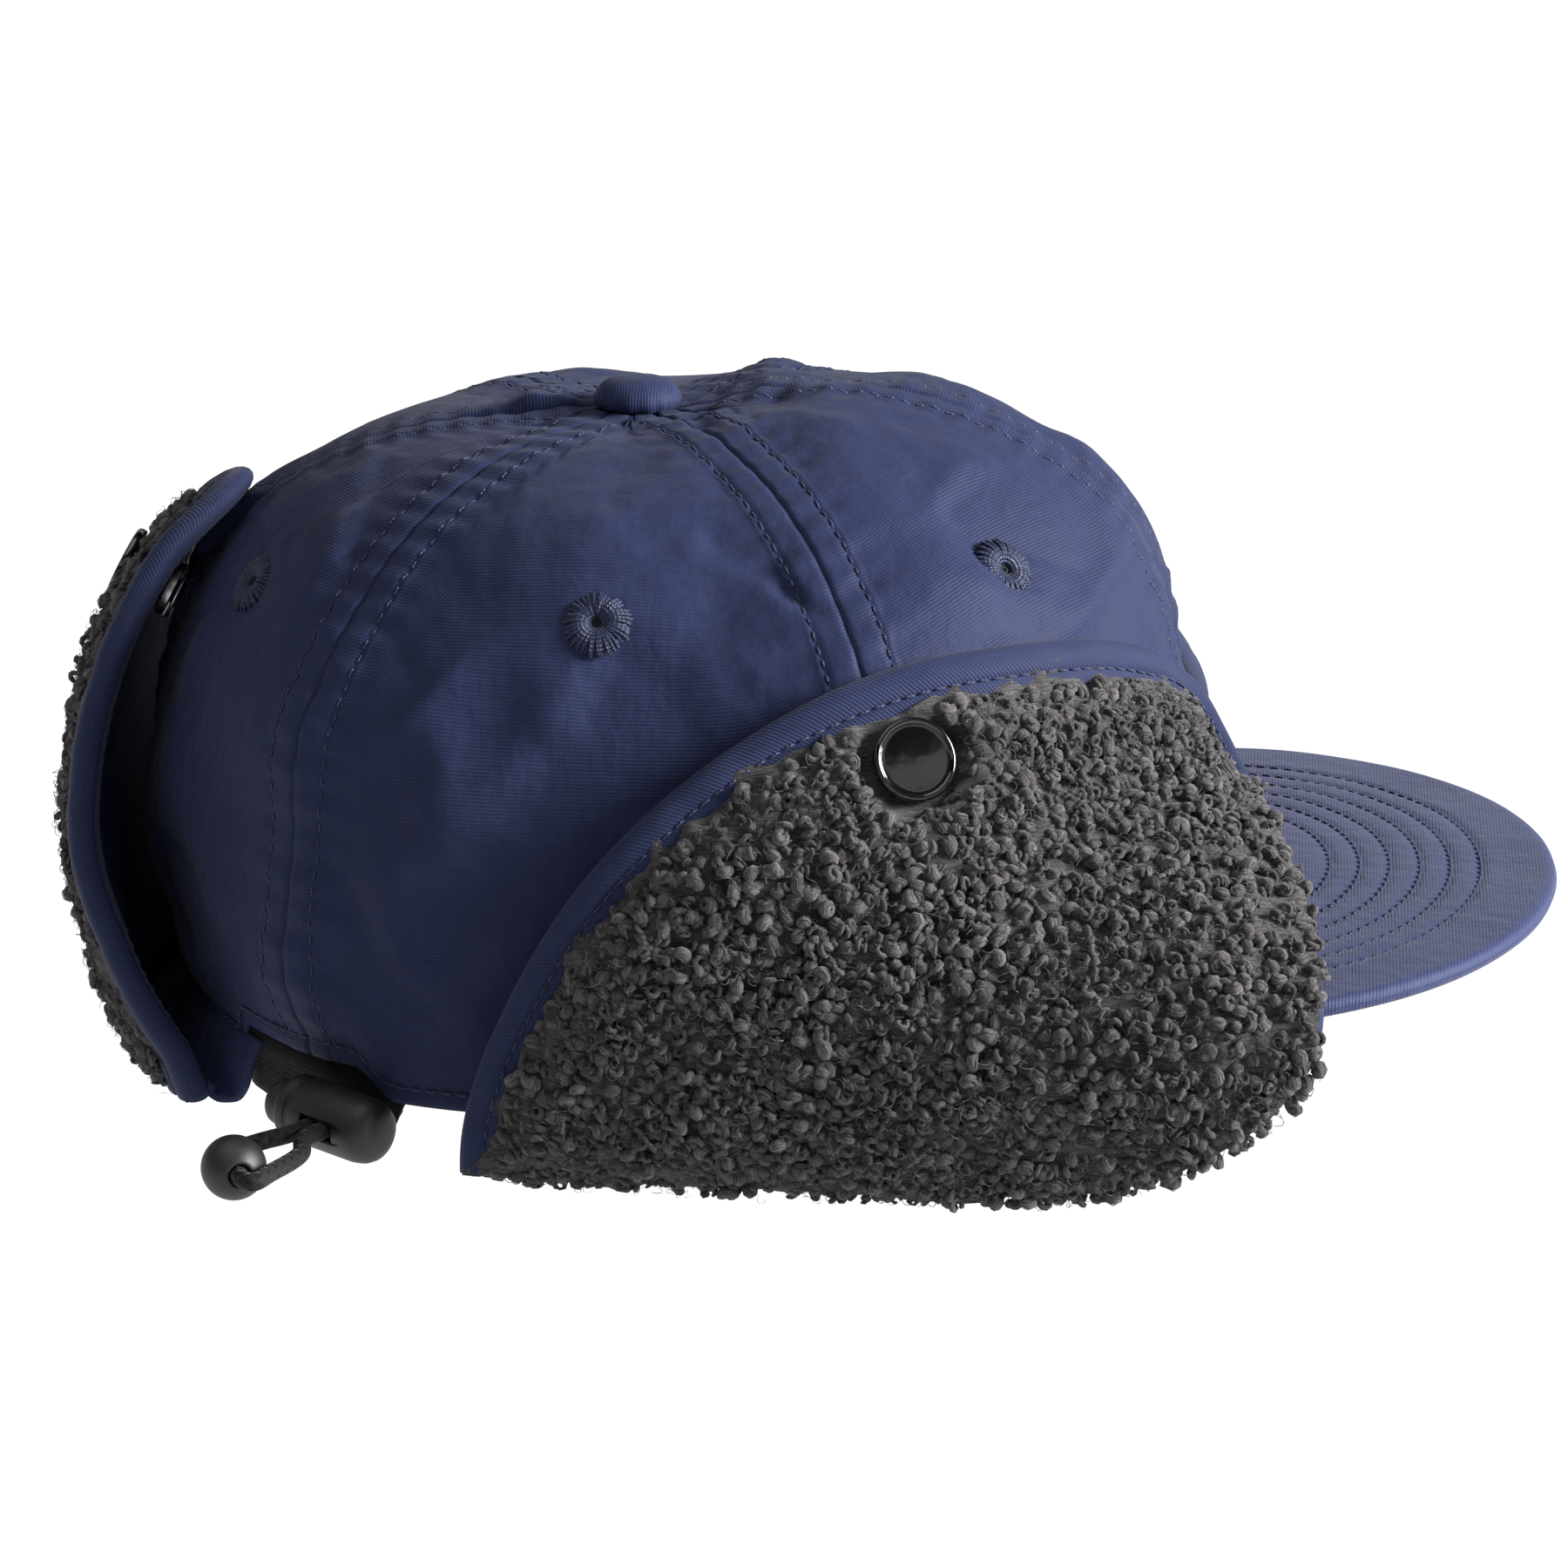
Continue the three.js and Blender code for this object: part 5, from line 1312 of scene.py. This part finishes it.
def centripetal(route):
    """The smooth centripetal curve through a route's points."""
    route = np.concatenate([[2 * route[0] - route[1]], route, [2 * route[-1] - route[-2]]])
    result = []
    for number in range(1, len(route) - 2):
        p0, p1, p2, p3 = route[number - 1:number + 3]
        d0, d1, d2 = (math.sqrt(np.linalg.norm(b - a)) for a, b in ((p0, p1), (p1, p2), (p2, p3)))
        t1 = ((p1 - p0) / d0 - (p2 - p0) / (d0 + d1) + (p2 - p1) / d1) * d1
        t2 = ((p2 - p1) / d1 - (p3 - p1) / (d1 + d2) + (p3 - p2) / d2) * d1
        for t in np.arange(CORD_STEPS) / CORD_STEPS:
            result.append(p1 * (2 * t ** 3 - 3 * t ** 2 + 1) + t1 * (t ** 3 - 2 * t ** 2 + t)
                          + p2 * (3 * t ** 2 - 2 * t ** 3) + t2 * (t ** 3 - t ** 2))
    return np.array(result + [route[-2]])


cord_line = centripetal(cord_route)
points, quads, caps, number, uv = tubes(cord_line[None], CORD_RADIUS, 20)
cord = make_mesh("elastic_cord", points, quads, "cord", "hat", ["cord_loop"], uv=uv, tail=caps)

lock_half = LOCK_LENGTH / 2
slot_width = 2 * (STRAND + CORD_RADIUS + 0.3)
slot_height = 2 * (CORD_RADIUS + 0.3)


def in_lock(points):
    """Turns a lock piece so that its +Z is the plunger's end and its X lies along the cord."""
    back = -lock_axis
    rows = np.stack([cord_away, np.cross(back, cord_away), back])
    return points @ rows + lock_centre


SLOT_REACH = 12.0                       # past both sides of the lock


def cut_slot(piece, low, high):
    """Cuts a straight slot through a lock piece, across its axis, and softens its edges."""
    corners = np.array([(x, y, z) for z in (low, high) for y in (-slot_height / 2, slot_height / 2)
                        for x in (-SLOT_REACH, SLOT_REACH)])
    faces = np.array([(0, 2, 3, 1), (4, 5, 7, 6), (0, 1, 5, 4), (2, 6, 7, 3), (0, 4, 6, 2), (1, 3, 7, 5)])
    tool = make_mesh("slot_tool", in_lock(corners), faces, "plastic", None)
    cut = piece.modifiers.new("slot", "BOOLEAN")
    cut.operation, cut.solver, cut.object = "DIFFERENCE", "EXACT", tool
    bevel = piece.modifiers.new("soft edges", "BEVEL")
    bevel.width, bevel.segments, bevel.limit_method, bevel.angle_limit = 0.00025, 2, "ANGLE", math.radians(40)
    with bpy.context.temp_override(object=piece, active_object=piece, selected_objects=[piece]):
        bpy.context.view_layer.objects.active = piece
        for modifier in ("slot", "soft edges"):
            bpy.ops.object.modifier_apply(modifier=modifier)
    bpy.data.objects.remove(tool)


bore_floor = -lock_half + LOCK_FLOOR
barrel_profile = [
    (0.01, -lock_half), (2.6, -lock_half), (4.0, -lock_half + 0.35), (5.0, -lock_half + 1.1), (5.6, -lock_half + 2.2),
    (5.9, -lock_half + 3.6), (6.0, -lock_half + 4.4), (6.0, lock_half - 3.4), (5.7, lock_half - 3.2),
    (5.7, lock_half - 2.6), (6.0, lock_half - 2.4), (6.0, lock_half - 0.7), (5.75, lock_half - 0.2),
    (5.4, lock_half), (LOCK_BORE, lock_half), (LOCK_BORE, bore_floor), (0.01, bore_floor),
]
barrel = turned("lock_barrel", barrel_profile, 56, in_lock, "plastic", None, ["cord_lock_barrel"])
cut_slot(barrel, -slot_width / 2, slot_width / 2)
plunger_foot, plunger_top = -slot_width / 2 - PLUNGER_FOOT, lock_half + PLUNGER_STAND_OUT
plunger_profile = [
    (0.01, plunger_foot), (PLUNGER_RADIUS, plunger_foot), (PLUNGER_RADIUS, plunger_top - 1.4),
    (4.15, plunger_top - 0.8), (3.8, plunger_top - 0.3), (3.3, plunger_top - 0.05), (2.9, plunger_top),
    (2.6, plunger_top - 0.25), (0.01, plunger_top - 0.3),
]
plunger = turned("lock_plunger", plunger_profile, 48, in_lock, "plastic", None, ["cord_lock_plunger"])
cut_slot(plunger, -slot_width / 2, slot_width / 2 + PLUNGER_TRAVEL)
share = np.linspace(0, 1, 90)
coil_angle = share * 3 * 2 * math.pi
coil = np.stack([2.9 * np.cos(coil_angle), 2.9 * np.sin(coil_angle),
                 mix(bore_floor + 0.6, plunger_foot - 0.6, share)], -1)
points, quads, caps, number, uv = tubes(in_lock(coil)[None], 0.3, 8)
spring = make_mesh("lock_spring", points, quads, "steel", "cord_lock", ["cord_lock_spring"], tail=caps)
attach(barrel, "cord_lock")
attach(plunger, "cord_lock_plunger")

bead_bore = CORD_RADIUS + 0.35
bead_arc = math.acos((bead_bore + 0.35) / BEAD_RADIUS)
bead_profile = [(BEAD_RADIUS * math.cos(a), BEAD_RADIUS * math.sin(a)) for a in np.linspace(-bead_arc, bead_arc, 24)]
top = bead_profile[-1][1]
bead_profile += [(bead_bore + 0.08, top - 0.08), (bead_bore, top - 0.4), (bead_bore, -top + 0.4),
                 (bead_bore + 0.08, -top + 0.08)]
bead = turned("bead", bead_profile, 48, lambda points: stand(points, bead_centre, bead_axis), "plastic", "hat",
              ["cord_bead"], closed=True)
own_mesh(spring)

# ---- CAD pieces that stay, with their materials -----------------------------------------------
for node, material in (("visor_board", "board"), ("hem_elastic", "cord")):
    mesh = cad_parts[node].data
    mesh.materials.clear()
    mesh.materials.append(M[material])

# ---- floor, light and camera ------------------------------------------------------------------
FLOOR_HEIGHT = -0.4        # low enough for the lowered flaps to hang clear of it
bpy.ops.mesh.primitive_plane_add(size=24, location=(0, 0, FLOOR_HEIGHT))
floor = bpy.context.object
floor.name = "floor"
floor_shader = Shader("pale_floor", roughness=0.9, specular=0.1)
floor.data.materials.append(floor_shader.done(
    floor_shader.ramp(floor_shader.noise(floor_shader.place(), 0.01), 0, 1, (0.6,) * 3, (0.615,) * 3), None, None))


def look(direction):
    return mathutils.Vector(direction).to_track_quat("-Z", "Y")


def soft_sun(name, heading, strength, angle):
    """A broad, distant lamp that shines on the hat from a heading."""
    light = bpy.data.lights.new(name, "SUN")
    light.energy, light.angle = strength, angle
    lamp = bpy.data.objects.new(name, light)
    bpy.context.collection.objects.link(lamp)
    lamp.rotation_mode = "QUATERNION"
    lamp.rotation_quaternion = look(-np.array(heading, float))


soft_sun("key", (-0.07, -0.93, 0.37), 11.4, 0.45)
soft_sun("top", (-0.1, 0.2, 1.0), 0.95, 1.0)

world = bpy.data.worlds.new("studio")
bpy.context.scene.world = world
world.use_nodes = True
tree = world.node_tree
direction = tree.nodes.new("ShaderNodeTexCoord").outputs["Generated"]
height = tree.nodes.new("ShaderNodeSeparateXYZ")
tree.links.new(direction, height.inputs[0])
glow = tree.nodes.new("ShaderNodeFloatCurve")
curve = glow.mapping.curves[0]
for place, strength in ((0.0, 0.45), (0.24, 0.45), (0.29, 0.06), (0.36, 0.06), (0.4, 0.75), (0.52, 0.75), (0.56, 0.05),
                        (1.0, 0.2)):
    if place in (0.0, 1.0):
        curve.points[int(place)].location = (place, strength)
    else:
        curve.points.new(place, strength)
glow.mapping.update()
tree.links.new(height.outputs[2], glow.inputs["Value"])
tree.links.new(glow.outputs[0], tree.nodes["Background"].inputs["Strength"])
tree.nodes["Background"].inputs["Color"].default_value = (1.0, 1.0, 1.0, 1.0)

AZIMUTH, ELEVATION, DISTANCE = math.radians(275), math.radians(17), 1.1
target = in_frame((0.0, -27.0, 46.0))
back = np.array([math.sin(AZIMUTH) * math.cos(ELEVATION), -math.cos(AZIMUTH) * math.cos(ELEVATION),
                 math.sin(ELEVATION)])
camera_data = bpy.data.cameras.new("camera")
camera_data.lens, camera_data.sensor_width = 135.0, 36.0
camera = bpy.data.objects.new("camera", camera_data)
bpy.context.collection.objects.link(camera)
camera.location = target + back * DISTANCE
camera.rotation_mode = "QUATERNION"
camera.rotation_quaternion = look(-back)
bpy.context.scene.camera = camera
bpy.context.scene.view_settings.view_transform = "Standard"
